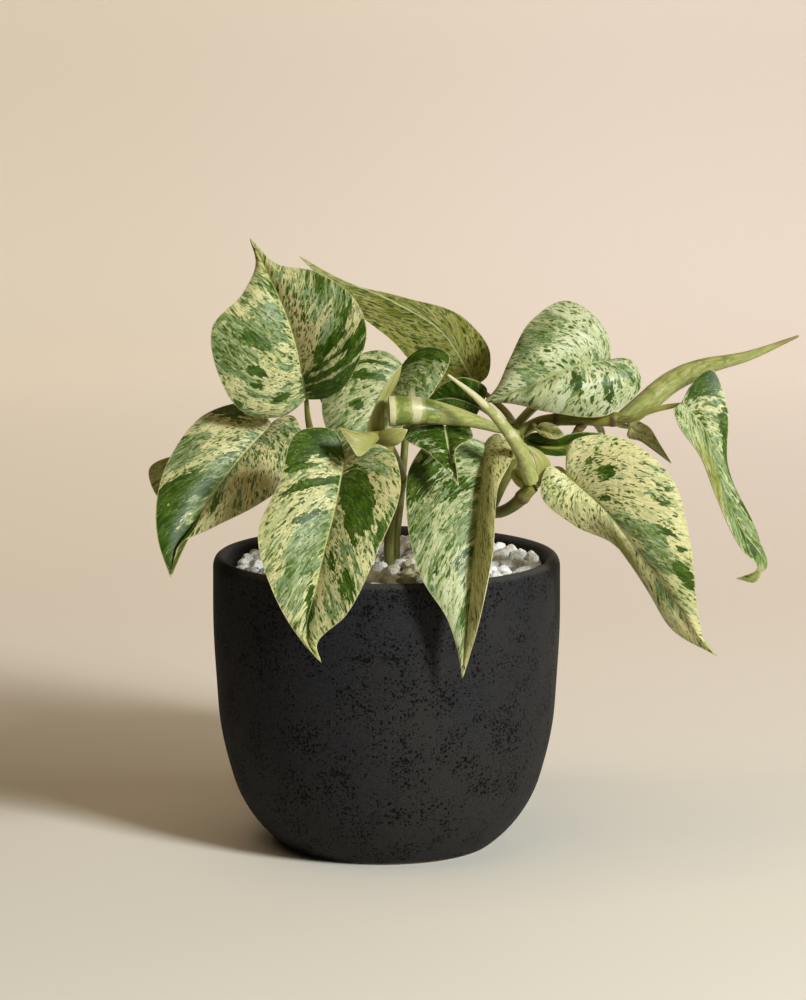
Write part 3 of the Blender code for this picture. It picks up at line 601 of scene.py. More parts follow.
# The blades are heart-shaped, about 0.5 mm thick and folded along a sunken midrib, with veins that fan out
# of the sinus and bend towards the tip. Streaks and specks of cream, grey-green and dark green follow them.
BLADE_THICKNESS = 0.5
BLADE_ROWS = 80
BLADE_COLUMNS = 44
BLADE_MERGE = 0.00001
VEIN_FAN = 2.0
VEIN_ARC = 0.22
RIPPLE_LEFT = 9.0
RIPPLE_RIGHT = 10.8
MIDRIB_DEPTH = 0.55
MIDRIB_WIDTH = 1.0
RIB_START = 0.125
VEINS_A_SIDE = 9
VEIN_DEPTH = 0.12
GRAIN_SLANT = 0.6
GRAIN_APART = 311.0
UPWARD_SHARES = 0.12, 0.9
UPWARD_STEP = 0.04
FORWARD_STEP = 0.03
SEEN_AT = 0.3
MIDWAY = np.array([0.4])
DARK, GREY, OLIVE, TAN, SPECKS = range(5)

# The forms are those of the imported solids, but for the flatter halves of leaf_top_back and a slimmer
# leaf_small_right. The base says how much of each kind of marking a blade has all over. The marks are soft
# ovals that push the marbling one way: the kind, share along the margin, place across, half length along,
# half length across, slant and strength.
LEAVES = {
    "leaf_upper_left": dict(
        midrib=((-34.5, 193.5, -24), (-38.5, 216, -27), (-43, 230, -27), (-51.5, 249, -20), (-58, 262, -12)),
        left=((-43.5, 186.5, -25), (-60.5, 187.5, -29), (-72.5, 205, -33), (-74.5, 224, -34),
              (-61, 239, -27), (-55.5, 252, -18)),
        right=((-25.5, 194, -27), (-13, 207, -37), (-8.5, 223, -40), (-12.5, 234.5, -36),
               (-29, 247.5, -26), (-47.5, 251.5, -18)),
        cup=3.5, wave=1.0, base=(0, 0.35, 0, 0.15, 0.25),
        marks=(
            (DARK, 0.27, 0.55, 0.22, 0.65, 0.06, 2), (DARK, 0.62, 0.85, 0.12, 0.2, 0, 1.2),
            (DARK, 0.5, 0.3, 0.2, 0.08, 0, 1.7), (DARK, 0.3, 0.5, 0.016, 0.4, 0.05, -2.4),
            (DARK, 0.37, 0.4, 0.016, 0.3, 0.05, -2.4), (DARK, 0.43, 0.55, 0.013, 0.4, 0.05, -2),
            (DARK, 0.57, 0.5, 0.07, 0.4, 0.1, -1.5), (GREY, 0.56, 0.66, 0.09, 0.3, 0.08, 1.7),
            (GREY, 0.58, 0.6, 0.03, 0.3, 0.08, -2), (GREY, 0.55, -0.82, 0.12, 0.34, 0, 1.8),
            (GREY, 0.66, -0.35, 0.1, 0.3, 0.08, 1.7), (DARK, 0.27, -0.35, 0.03, 0.15, 0, 1.7),
            (DARK, 0.45, -0.52, 0.032, 0.15, -0.05, 1.8), (DARK, 0.585, -0.48, 0.032, 0.19, -0.08, 1.8),
            (DARK, 0.38, -0.55, 0.02, 0.12, 0, 1.4), (DARK, 0.3, -0.97, 0.04, 0.1, 0, 1.4),
            (DARK, 0.8, -0.1, 0.035, 0.2, 0, 1.3), (TAN, 0.64, 0.18, 0.18, 0.22, 0.1, 1.3),
            (GREY, 0.64, 0.15, 0.18, 0.2, 0.1, -1.2), (SPECKS, 0.6, 0.18, 0.16, 0.25, 0, 1.2),
            (OLIVE, 0.95, 0, 0.14, 1.2, 0, 0.6), (SPECKS, 0.72, 0.25, 0.13, 0.8, 0, 0.7),
            (GREY, 0.1, -0.5, 0.08, 0.6, 0, 0.5))),
    "leaf_top_back": dict(
        midrib=((38, 199.5, 16), (24, 222, 17), (3, 235, 15), (-22, 246, 11), (-37, 254.5, 8)),
        left=((42.5, 202, 16), (44.5, 212, 16), (34, 227.5, 17), (6, 237.5, 16), (-16, 243, 12)),
        right=((26, 192, 18), (16, 202, 19), (4, 217, 18), (-11, 229, 15), (-25, 242.5, 10)),
        cup=0.2, wave=0.8, rib=0.0, underside_seen=True, base=(0.4, 0.35, 0.7, 0.4, 1.5),
        marks=(
            (GREY, 0.45, 0.15, 0.25, 0.3, 0, 0.7), (DARK, 0.72, 0.1, 0.1, 0.4, 0, 0.8),
            (OLIVE, 0.2, -0.5, 0.2, 0.7, 0, 0.5), (OLIVE, 0.5, 0.9, 0.4, 0.25, 0, 0.5))),
    "leaf_left": dict(
        midrib=((-49.5, 182.5, -13), (-62, 169, -24), (-76, 150, -34), (-87, 130, -44), (-93.5, 115.5, -50)),
        left=((-58.5, 190.5, -9), (-75.5, 187.5, -12), (-92.5, 169.5, -26), (-99, 149.5, -38),
              (-98.5, 130.5, -47)),
        right=((-41.5, 186, -13), (-36, 175.5, -22), (-42.5, 158.5, -32), (-55.5, 147.5, -40),
               (-76, 136.5, -46), (-89.5, 129.5, -49)),
        cup=3.0, wave=1.0, base=(-0.2, 0, 0, 0.25, 0.4),
        marks=(
            (DARK, 0.24, -0.75, 0.08, 0.45, 0.08, 1.7), (GREY, 0.5, -0.85, 0.09, 0.25, 0, 1.7),
            (DARK, 0.74, -0.65, 0.16, 0.5, -0.08, 1.9), (GREY, 0.68, -0.2, 0.13, 0.35, 0, 1.9),
            (DARK, 0.71, 0.35, 0.05, 0.3, 0.06, 1.6), (DARK, 0.84, 0.5, 0.06, 0.6, 0, 1.6),
            (DARK, 0.93, 0, 0.1, 1.2, 0, 1.8), (TAN, 0.4, 0.5, 0.3, 0.6, 0, 0.3),
            (GREY, 0.3, 0.6, 0.1, 0.5, 0, 0.4), (SPECKS, 0.35, 0.3, 0.25, 0.9, 0, 0.8))),
    "leaf_left_back": dict(
        midrib=((-61, 178, 14), (-70, 168, 20), (-78, 155, 24), (-81, 141, 24)),
        left=((-69, 181, 14), (-84, 171, 16), (-102.5, 162, 18), (-100, 153, 21)),
        right=((-52, 181, 12), (-49, 165, 10), (-60, 149, 15), (-73, 141, 21)),
        cup=2.5, wave=0.8, base=(0.2, 0, 0.9, 0.9, 0.5), marks=()),
    "leaf_centre_back": dict(
        midrib=((7, 208, -9), (2.5, 196, -14), (-6, 180, -20), (-15, 166, -24)),
        left=((-0.5, 213.5, -8), (-15.5, 210, -9), (-27.5, 194, -14), (-26, 181, -20), (-19, 170, -23)),
        right=((16, 215, -12), (27, 212, -20), (20, 197, -24), (9, 183, -26), (-6, 170, -26)),
        cup=3.0, wave=1.2, base=(0, 0.75, 0, -0.1, 0.1),
        marks=(
            (DARK, 0.3, -0.45, 0.035, 0.42, -0.12, 1.3), (DARK, 0.44, -0.4, 0.04, 0.3, -0.05, 1.6),
            (DARK, 0.66, -0.45, 0.035, 0.13, 0, 1.6), (DARK, 0.2, 0.72, 0.12, 0.7, 0.1, 2.4),
            (GREY, 0.45, 0.45, 0.14, 0.5, 0, 0.7), (TAN, 0.42, 0.5, 0.14, 0.5, 0, 1.1),
            (SPECKS, 0.45, 0.5, 0.15, 0.5, 0, 0.6))),
    "leaf_front_right": dict(
        midrib=((42.5, 174, -42), (40.5, 151, -62), (37.5, 121.5, -77), (34.5, 85.5, -84), (33, 71, -82)),
        left=((23, 177.5, -44), (10.5, 164, -54), (8.5, 143.5, -68), (16, 113.5, -82),
              (26.5, 97, -85), (31, 83, -84)),
        right=((47, 178, -45), (53.5, 172.5, -52), (47.5, 153, -75), (45.5, 123, -90), (39, 91, -89)),
        cup=3.0, wave=0.8, base=(-0.1, 0.65, 0, -0.2, 0),
        marks=(
            (DARK, 0.36, -0.85, 0.09, 0.4, 0.05, 1.6), (GREY, 0.25, -0.25, 0.06, 0.25, 0, 1.3),
            (DARK, 0.46, -0.3, 0.05, 0.32, -0.04, 1.2), (GREY, 0.5, -0.8, 0.05, 0.2, 0, 1.2),
            (DARK, 0.69, -0.4, 0.05, 0.5, 0.03, 0.9), (GREY, 0.62, -0.2, 0.05, 0.3, 0, 1),
            # Painted light and shade: the olive, the tan and the missing grey and dark greens over the right
            # half stand in for its backlit, shaded look.
            (OLIVE, 0.5, 0.6, 0.6, 0.57, 0, 0.6), (GREY, 0.5, 0.6, 0.6, 0.5, 0, -1.3),
            (TAN, 0.5, 0.6, 0.6, 0.57, 0, 0.3), (DARK, 0.5, 0.62, 0.6, 0.5, 0, -0.6),
            (SPECKS, 0.5, 0.6, 0.5, 0.6, 0, 1.3), (DARK, 0.24, 0.25, 0.04, 0.2, 0, 1.3),
            (DARK, 0.3, 0.7, 0.04, 0.2, 0, 1.2), (DARK, 0.45, 0.7, 0.04, 0.2, 0, 1.3),
            (DARK, 0.78, 0.8, 0.05, 0.2, 0, 1.3), (DARK, 0.86, -0.3, 0.04, 0.25, 0, 0.9))),
    "leaf_front_left": dict(
        midrib=((-18, 167.5, -62), (-22, 146.5, -76), (-29.5, 115, -86), (-33.5, 85, -88), (-28.5, 78, -87)),
        left=((-22, 179, -60), (-36.5, 179.5, -62), (-46.5, 156.5, -76), (-55.5, 135.5, -88),
              (-49, 108.5, -92), (-36, 86.5, -89)),
        right=((-10.5, 174, -66), (1.5, 171, -70), (6, 159.5, -80), (-4, 126.5, -92),
               (-17, 99.5, -94), (-30.5, 84.5, -89)),
        cup=3.0, wave=1.0, base=(0, 0.2, 0, 0.1, 0.25),
        marks=(
            (DARK, 0.16, -0.6, 0.13, 0.55, -0.12, 2.6), (DARK, 0.43, 0.34, 0.14, 0.38, 0.22, 2.6),
            (DARK, 0.28, -0.85, 0.05, 0.25, 0, 1.6), (DARK, 0.4, -0.4, 0.03, 0.4, -0.1, 1.5),
            (DARK, 0.33, -0.7, 0.02, 0.25, -0.05, 1.4), (GREY, 0.64, -0.3, 0.08, 0.4, -0.16, 1.7),
            (GREY, 0.74, -0.5, 0.07, 0.35, -0.1, 1.4), (DARK, 0.55, -0.35, 0.025, 0.3, -0.05, 1.2),
            (DARK, 0.84, -0.1, 0.06, 0.25, 0.1, 1.5), (DARK, 0.9, 0.1, 0.05, 0.3, 0.1, 1.2),
            (DARK, 0.4, -0.6, 0.03, 0.35, -0.05, 0.9), (DARK, 0.69, 0.22, 0.03, 0.15, 0.05, 1.4),
            (DARK, 0.73, 0.75, 0.05, 0.3, 0.1, 1.3), (TAN, 0.3, 0.6, 0.2, 0.5, 0, 0.9),
            (GREY, 0.27, 0.55, 0.05, 0.35, 0, 1), (DARK, 0.5, 0.93, 0.1, 0.12, 0, 1.2),
            (SPECKS, 0.72, 0.5, 0.15, 0.6, 0, 0.5), (OLIVE, 0.97, 0, 0.06, 1.2, 0, 0.7))),
    "leaf_right_low": dict(
        midrib=((77.5, 160, -50), (94, 145, -56), (114, 120, -54), (131, 97, -46), (143.5, 81, -38)),
        left=((70, 164, -52), (66.5, 153, -53), (81, 138.5, -50), (97, 130.5, -44), (112, 112, -38),
              (124.5, 92.5, -38)),
        right=((79, 174, -52), (97, 177.5, -52), (120, 162.5, -58), (131.5, 130.5, -58), (135.5, 98, -47),
               (138, 87, -42)),
        cup=3.5, wave=1.0, base=(-0.12, -0.2, 0, 0.1, 0.4),
        marks=(
            (DARK, 0.31, 0.42, 0.04, 0.17, 0.02, 1.6), (GREY, 0.55, 0.3, 0.06, 0.4, 0.12, 2),
            (DARK, 0.57, 0.75, 0.03, 0.15, 0.05, 1.5), (DARK, 0.7, 0.8, 0.045, 0.2, 0.08, 1.5),
            (GREY, 0.67, 0.4, 0.05, 0.4, 0, 1.8), (DARK, 0.22, 0.5, 0.03, 0.2, 0, 1.2),
            (DARK, 0.4, 0.2, 0.025, 0.15, 0, 1.2), (DARK, 0.47, 0.8, 0.03, 0.15, 0, 1.2),
            (DARK, 0.23, -0.5, 0.1, 0.35, -0.1, 0.8), (GREY, 0.14, -0.7, 0.05, 0.3, 0, 0.9),
            (OLIVE, 0.62, -0.75, 0.09, 0.5, -0.12, 2), (DARK, 0.62, -0.8, 0.05, 0.4, -0.12, 0.8),
            (GREY, 0.78, -0.15, 0.05, 0.2, 0, 1.4), (TAN, 0.35, 0.5, 0.25, 0.5, 0, 0.5),
            (SPECKS, 0.3, 0.5, 0.25, 0.5, 0, 0.3), (GREY, 0.8, 0.5, 0.06, 0.4, 0, 0.9))),
    "leaf_right_high": dict(
        midrib=((95.5, 210, -16), (81.5, 207.5, -22), (57.5, 197, -24), (42, 192, -22)),
        left=((91, 226, -13), (76, 235.5, -10), (62, 227, -13), (52.5, 209.5, -19), (47, 197.5, -22)),
        right=((105, 209.5, -14), (109, 200, -16), (97, 187.5, -22), (70.5, 187.5, -26), (53, 191.5, -24)),
        cup=6.0, wave=0.6, base=(-0.3, 0.2, 0, -0.3, 0.6),
        marks=(
            (GREY, 0.24, 0.5, 0.05, 0.35, 0.06, 1.4), (DARK, 0.42, 0.6, 0.045, 0.25, 0.02, 1.6),
            (DARK, 0.565, 0.36, 0.045, 0.28, 0.04, 1.7), (GREY, 0.81, 0.2, 0.04, 0.35, 0, 1.5),
            (GREY, 0.6, -0.75, 0.1, 0.35, 0, 1.2), (DARK, 0.41, -0.85, 0.06, 0.25, 0, 0.9),
            (GREY, 0.75, -0.4, 0.08, 0.4, 0, 0.9), (DARK, 0.3, 0.1, 0.03, 0.2, 0, 1))),
    "leaf_far_right": dict(
        midrib=((127, 192, -22), (137, 180, -25), (144, 158, -27), (153, 137, -28), (162.5, 122.5, -28),
                (160, 113.5, -26), (151.5, 115, -24)),
        left=((123.5, 189.5, -25), (125, 183, -30), (135, 168.5, -34), (142, 152, -34), (154, 127, -31),
              (160.5, 119.5, -28)),
        right=((130.5, 199, -20), (139, 206, -18), (145.5, 193, -20), (147.5, 162.5, -22), (161, 132, -24),
               (164.5, 120, -26)),
        cup=1.0, wave=0.4, base=(0.3, 0.6, 0.1, -0.2, 0.2),
        marks=(
            (DARK, 0.5, 0.85, 0.25, 0.25, 0, 1.3), (GREY, 0.6, -0.2, 0.3, 0.5, 0, 0.7),
            (DARK, 0.15, 0.6, 0.08, 0.5, 0.03, 2), (OLIVE, 0.45, -0.85, 0.18, 0.35, 0, 0.9),
            (GREY, 0.8, 0, 0.12, 1, 0, 1), (TAN, 0.32, 0.5, 0.08, 0.4, 0, 0.6),
            (DARK, 0.84, -0.4, 0.05, 0.6, 0, 1.2), (OLIVE, 0.96, 0, 0.06, 1.2, 0, 0.9))),
    "leaf_small_right": dict(
        midrib=((104.5, 181, -8), (112.5, 175.5, -4), (122.5, 165.5, 0)),
        left=((103.5, 177.5, -6), (109.5, 175, 0), (116.5, 170, 2)),
        right=((106.5, 183.5, -8), (111.5, 182, -5), (118, 172.8, 0)),
        cup=0.8, wave=0.0, base=(-0.6, -0.3, 0.6, 0.9, 0.4),
        marks=((DARK, 0.55, -0.7, 0.4, 0.3, 0, 1.6),)),
    "leaf_under_shoot": dict(
        midrib=((25, 181.2, -55), (27.5, 168.5, -67), (31, 155.5, -77)),
        left=((14, 185, -45), (6, 179, -51), (18.5, 169.5, -66), (27, 161, -74)),
        right=((34, 182.5, -44), (37, 177, -55), (29.5, 170, -70), (30.5, 161.5, -75)),
        cup=1.0, wave=0.0, base=(1, 0.5, 0, -0.2, 0),
        marks=(
            (DARK, 0.35, 0.2, 0.35, 0.7, 0, 1), (GREY, 0.75, 0.4, 0.1, 0.6, 0, 1.2))),
    "leaf_dark_small": dict(
        midrib=((40, 189.5, -8), (29.5, 193.5, -4), (17, 192, 0)),
        left=((43, 197.5, -8), (34, 202.5, -6), (24, 199.5, -2)),
        right=((38.5, 186.5, -8), (30, 184, -9), (21.5, 186.5, -4)),
        cup=1.5, wave=0.0, base=(2.2, 0.3, 0, 0, 0), marks=()),
    "leaf_striped_small": dict(
        midrib=((58.5, 175.5, -17), (70.5, 173, -20), (93, 178.5, -18)),
        left=((63, 178.5, -18), (71, 177, -22), (85, 179, -21)),
        right=((64, 171, -20), (76, 168.5, -24), (90, 174, -21)),
        cup=0.8, wave=0.0, base=(2.2, 0.3, 0, 0, 0),
        marks=(
            (DARK, 0.5, 0.3, 0.2, 0.1, 0, -2), (OLIVE, 0.6, 0.3, 0.3, 0.2, 0, 1))),
    "leaf_pale_small": dict(
        midrib=((64, 180.5, -21), (70.5, 178.5, -25), (77, 177.5, -27)),
        left=((66, 182.5, -22), (72.5, 182, -26)),
        right=((66, 178, -24), (73, 176, -29)),
        cup=0.5, wave=0.0, base=(-0.4, 0, 0.5, 0.9, 0.5), marks=()),
    "leaf_back_left": dict(
        midrib=((-25, 152, 80), (-27, 132, 93), (-30, 106, 98), (-33, 78, 94)),
        left=((-30, 158, 78), (-44, 157, 80), (-51, 141, 88), (-47, 112, 95), (-38, 88, 95)),
        right=((-19, 158, 78), (-6, 157, 80), (-1, 140, 88), (-8, 110, 96), (-25, 86, 95)),
        cup=-3.0, wave=1.0, underside_seen=True, base=(-0.2, 0.2, 0, 0.1, 0.2),
        marks=(
            (DARK, 0.2, 0.5, 0.12, 0.5, 0.1, 1.7), (GREY, 0.6, -0.5, 0.12, 0.4, 0, 1.5),
            (DARK, 0.7, 0.4, 0.05, 0.4, 0.1, 1.4))),
    "leaf_back_middle": dict(
        midrib=((27, 135, 88), (28, 117, 98), (30, 92, 101), (32, 66, 96)),
        left=((22, 140, 86), (10, 138, 87), (2, 120, 94), (9, 92, 99), (24, 72, 97)),
        right=((32, 140, 86), (41, 137, 88), (50, 120, 98), (48, 93, 102), (38, 74, 98)),
        cup=-3.0, wave=1.0, underside_seen=True, base=(-0.1, 0.4, 0, 0, 0.2),
        marks=(
            (DARK, 0.5, 0.4, 0.1, 0.4, 0.1, 1.6), (GREY, 0.35, -0.6, 0.1, 0.4, 0, 1.5),
            (DARK, 0.75, -0.4, 0.06, 0.4, 0, 1.3))),
    "leaf_back_high": dict(
        midrib=((-33, 205, 26), (-38, 217, 34), (-44, 229, 38), (-52, 240, 38)),
        left=((-39, 200, 26), (-52, 200, 26), (-62, 209, 28), (-64, 222, 32), (-59, 234, 36)),
        right=((-28, 202, 30), (-19, 208, 36), (-17, 221, 42), (-26, 233, 43), (-41, 238, 41)),
        cup=-2.5, wave=0.8, underside_seen=True, base=(-0.3, 0, 0.2, 0, 0.3),
        marks=(
            (DARK, 0.4, -0.5, 0.1, 0.4, 0, 1.6), (GREY, 0.5, 0.5, 0.1, 0.4, 0, 1.4))),
    "leaf_right_back": dict(
        midrib=((96, 166, 10), (101, 155, 20), (108, 141, 26), (115, 126, 27)),
        left=((91, 167, 12), (86, 157, 20), (91, 144, 26), (103, 131, 28)),
        right=((101, 169, 8), (112, 165, 10), (119, 152, 18), (120, 138, 24)),
        cup=-2.0, wave=0.8, underside_seen=True, base=(-0.1, 0.5, 0, 0, 0.2),
        marks=((GREY, 0.5, 0.5, 0.1, 0.4, 0, 1.2),)),
    "leaf_back_right": dict(
        midrib=((57, 121, 78), (61, 105, 82), (63, 84, 82), (60, 60, 77)),
        left=((52, 124, 83), (43, 118, 91), (41, 100, 97), (47, 80, 92), (55, 65, 82)),
        right=((61, 123, 73), (67, 115, 67), (71, 98, 66), (70, 80, 70), (63, 65, 75)),
        cup=-2.5, wave=0.8, underside_seen=True, base=(-0.3, 0, 0, 0.1, 0.3),
        marks=(
            (DARK, 0.3, -0.5, 0.1, 0.5, 0, 1.6), (GREY, 0.7, 0.4, 0.1, 0.4, 0, 1.5))),
}


class Blade:
    """A leaf's surface between its midrib and two margins, all of which run from the sinus to the tip."""

    def __init__(self, form):
        midrib, left, right = (in_place(form[line]) for line in ("midrib", "left", "right"))
        self.midrib = smooth_path(midrib)
        self.left = smooth_path(np.vstack([midrib[:1], left, midrib[-1:]]))
        self.right = smooth_path(np.vstack([midrib[:1], right, midrib[-1:]]))
        self.cup = form["cup"] * MM
        self.wave = form.get("wave", 0.0) * MM
        self.rib = form.get("rib", 1.0) * MIDRIB_DEPTH * MM
        self.side = 1.0
        seen = EYE * MM - along(self.midrib, SEEN_AT)
        facing = self.upward(MIDWAY)[0].dot(seen) > 0
        if facing == form.get("underside_seen", False):
            self.side = -1.0

    def upward(self, shares):
        """The upper side's direction where veins leave the midrib."""
        shares = np.clip(shares, *UPWARD_SHARES)
        start = shares**VEIN_FAN
        run = along(self.midrib, start + UPWARD_STEP) - along(self.midrib, start - UPWARD_STEP)
        across = along(self.right, shares) - along(self.left, shares)
        return unit(np.cross(run, across)) * self.side

    def chord(self, shares, across):
        """From the midrib to the margin on the side of each point."""
        root = along(self.midrib, shares**VEIN_FAN)
        margin = np.where(across[:, None] > 0, along(self.right, shares), along(self.left, shares))
        return root, margin - root

    def points(self, shares, across):
        """Points at shares of the margin and from -1, left, to 1, right."""
        start = shares**VEIN_FAN
        reach = np.abs(across)
        root, chord = self.chord(shares, across)
        width = np.linalg.norm(chord, axis=1)
        forward = along(self.midrib, start + FORWARD_STEP) - along(self.midrib, start - FORWARD_STEP)
        swell = np.sin(np.pi * shares)
        bow = swell * reach * (1.0 - reach)
        place = root + chord * reach[:, None] - unit(forward) * (width * VEIN_ARC * bow)[:, None]
        rise = self.cup * np.maximum(swell, 0.0)**0.6 * 4.0 * reach * (1.0 - reach)
        beat = np.where(across > 0, RIPPLE_RIGHT, RIPPLE_LEFT)
        rise += self.wave * swell * reach**2 * np.sin(beat * shares)
        away = reach * width / MM / MIDRIB_WIDTH
        rise -= self.rib * np.exp(-away**2) * (1.0 - start) * np.minimum(1.0, shares / RIB_START)
        quilt = np.cos(2.0 * np.pi * VEINS_A_SIDE * shares + across)
        rise += VEIN_DEPTH * MM * quilt * swell * 4.0 * reach * (1.0 - reach)
        return place + self.upward(shares) * rise[:, None]


def marked(form, shares, across):
    """How far each kind of marking is pushed at each point."""
    pushed = np.tile(np.array(form["base"], dtype=float), (len(shares), 1))
    for kind, share, place, length, width, slant, strength in form["marks"]:
        off = ((shares - share - slant * (across - place)) / length)**2 + ((across - place) / width)**2
        pushed[:, kind] += strength * np.exp(-off**2)
    return pushed


def add_blade(shape, blade, number, form, rows=BLADE_ROWS, columns=BLADE_COLUMNS):
    """Adds a blade as a sheet whose upper side faces up, with its marbling in its vertices."""
    vein = shape.verts.layers.float_vector.new("vein")
    marks = shape.verts.layers.float_vector.new("marks")
    tones = shape.verts.layers.float_vector.new("tones")
    born, drawn = add_sheet(shape, rows, columns)
    shares = (drawn[:, 0] + 1.0) / 2.0
    across = drawn[:, 1]
    places = blade.points(shares, across)
    _, chord = blade.chord(shares, across)
    width = np.linalg.norm(chord, axis=1) / MM
    length = path_length(blade.left)
    pushed = marked(form, shares, across)
    for index, spot in enumerate(born):
        spot.co = places[index]
        out = across[index] * width[index]
        along_rib = shares[index] * length - GRAIN_SLANT * abs(out) + GRAIN_APART * number
        spot[vein] = (along_rib, out, width[index] - abs(out))
        spot[marks] = pushed[index][:3]
        spot[tones] = (pushed[index][3], pushed[index][4], 0.0)
    bmesh.ops.remove_doubles(shape, verts=shape.verts, dist=BLADE_MERGE)
    shape.normal_update()
    facing = sum((face.normal * face.calc_area() for face in shape.faces), Vector())
    if facing.dot(Vector(blade.upward(MIDWAY)[0])) < 0:
        bmesh.ops.reverse_faces(shape, faces=shape.faces)


def thickened(piece, thickness):
    """Gives a sheet its thickness for good, the underside in the second finish."""
    wall = piece.modifiers.new("thickness", "SOLIDIFY")
    wall.thickness = thickness * MM
    wall.offset = 0.0
    wall.material_offset = 1
    wall.material_offset_rim = 0
    bpy.context.view_layer.update()
    graph = bpy.context.evaluated_depsgraph_get()
    mesh = bpy.data.meshes.new_from_object(piece.evaluated_get(graph))
    piece.modifiers.clear()
    piece.data = mesh
    mesh.shade_smooth()
    mesh.set_sharp_from_angle(angle=math.radians(SHARP_ANGLE))


def leaf_skin(name, underside):
    """The marbled skin of a blade. The underside is duller, and more yellow."""
    skin = Finish(name, roughness=0.4, specular_ior_level=0.25)
    vein, marks, tones = (skin.attribute(layer) for layer in ("vein", "marks", "tones"))
    out, edge = skin.part(vein, 1), skin.part(vein, 2)
    dark_push, grey_push, olive_push = (skin.part(marks, axis) for axis in range(3))
    tan_push, speck_push = skin.part(tones, 0), skin.part(tones, 1)

    def drift(scale, detail):
        """A push to a random side, which changes along and across the veins."""
        push = skin.grain(skin.scaled(vein, scale), 1.0, detail, output=1)
        return skin.node("VectorMath", {0: push, 1: (0.5, 0.5, 0.5)}, operation="SUBTRACT")

    def streaks(place, across, along, detail, spread):
        """Noise about 0, drawn out along the veins, where 1 is a rare height."""
        return (skin.drawn_out(place, (across, along, 0.0), detail, 0.62) - 0.5) * spread

    def cells(place, output="Distance", **settings):
        return skin.cells(place, 1.0, output, voronoi_dimensions="2D", **settings)

    def spots(place, across, along):
        """Rounded spots, drawn out a little along the veins, each with a size of its own."""
        place = skin.scaled(place, (across, along, 0.0))
        return skin.part(cells(place, "Color"), 0) * 0.8 - cells(place) * 1.5

    wander, ruffle = drift((0.13, 0.09, 0.0), 3.0), drift((0.8, 0.8, 0.0), 2.0)
    flow = skin.moved(skin.moved(vein, wander, 7.0), ruffle, 1.6)
    elsewhere = skin.moved(flow, (1.0, 1.0, 1.0), 517.0)
    thread = streaks(flow, 1.3, 0.8, 3.0, 6.0)
    fray = streaks(elsewhere, 0.46, 0.34, 3.0, 5.4)
    dark_land = streaks(flow, 0.21, 0.085, 4.0, 6.0)
    grey_land = streaks(elsewhere, 0.22, 0.09, 4.0, 6.0)
    brush = streaks(flow, 0.38, 0.21, 3.5, 6.5)
    ridge = streaks(flow, 0.33, 0.085, 4.0, 6.0).maths("ABSOLUTE")
    mosaic = skin.scaled(elsewhere, (0.17, 0.085, 0.0))
    chance = cells(mosaic, "Color")
    patch, other_patch = skin.part(chance, 0), skin.part(chance, 1)
    seam = cells(mosaic, feature="DISTANCE_TO_EDGE")

    wash = brush * 0.6 + thread * 0.3 + grey_land * 0.3 + grey_push * 0.4 + other_patch * 0.6
    grey = grey_land * 0.6 + patch * 1.3 - 0.65 + fray * 0.14 + thread * 0.05 + grey_push
    grey = grey.above(0.68, 0.05)
    leaf_grey = skin.coated(colour(92, 122, 78), (brush.above(0.1, 0.4), 138, 161, 116))
    seams = (1 - seam.above(0.045, 0.02)) * (other_patch + thread * 0.3).above(0.35, 0.15)
    strokes = fray * 0.9 - brush * 0.5 + grey_land * 0.2 + thread * 0.2 + dark_push * 0.3 + grey_push * 0.25
    lines = (1 - ridge.above(0.1, 0.07)) * (grey_land * -0.7 + fray * 0.5).above(-0.1, 0.3)
    dark = dark_land * 0.7 + other_patch * 0.8 - 0.4 + fray * 0.3 + thread * 0.12 + dark_push
    dark = dark.above(0.95, 0.05)
    deep = skin.coated(colour(38, 66, 4), (brush.above(0.2, 0.6), 66, 96, 14))
    veining = (1 - ridge.above(0.05, 0.04)) * grey_land.above(-0.3, 0.3)
    broad = spots(flow, 0.3, 0.2) + dark_push * 0.1 + brush * 0.18
    fine = spots(elsewhere, 0.62, 0.5) + speck_push * 0.25 + brush * 0.12
    rib = 1 - out.maths("ABSOLUTE").above(0.5, 0.3)

    cream = skin.coated(
        colour(233, 227, 170),
        (thread.above(0.2, 0.6), 213, 208, 142),
        ((tan_push + brush * 0.4).above(0.6, 0.5) * 0.75, 200, 180, 126),
        ((tan_push * -4.0).above(0.5, 0.4), 212, 220, 180),
        (wash.above(0.45, 0.14) * 0.65, 168, 182, 120))
    marbled = skin.coated(
        skin.blend(grey * 0.95, cream, leaf_grey),
        (seams * 0.8, 206, 206, 154),
        (strokes.above(0.42, 0.09) * 0.7, 122, 144, 66),
        (strokes.above(0.72, 0.06) * 0.95, 74, 100, 28),
        (lines * 0.8, 212, 210, 160))
    # Olive is a blade's own yellow-olive, and on the right half of leaf_front_right it is painted shade.
    tone = skin.coated(
        skin.blend(dark, marbled, deep),
        (veining * 0.55, 164, 174, 108),
        (olive_push.above(0.5, 0.5) * 0.6, 146, 142, 42))
    if underside:
        tone = skin.coated(tone, (0.2, 180, 176, 90))
    tone = skin.coated(
        tone,
        (broad.above(0.34, 0.08) * 0.6, 116, 140, 62),
        (broad.above(0.44, 0.04) * 0.95, 52, 80, 14),
        (fine.above(0.38, 0.06) * 0.9, 54, 76, 18),
        (rib * 0.8, 204, 208, 148),
        ((1 - edge.above(0.3, 0.2)) * 0.6, 214, 208, 150))
    skin.wear(base_color=tone, roughness=0.42 + 0.03 * fray)
    skin.bump(thread * 0.1 + fray * 0.12, 0.0003, 0.35)
    skin.let_through((0.3 if underside else 0.2) - 0.12 * dark - 0.04 * grey, colour(190, 194, 90))
    return skin


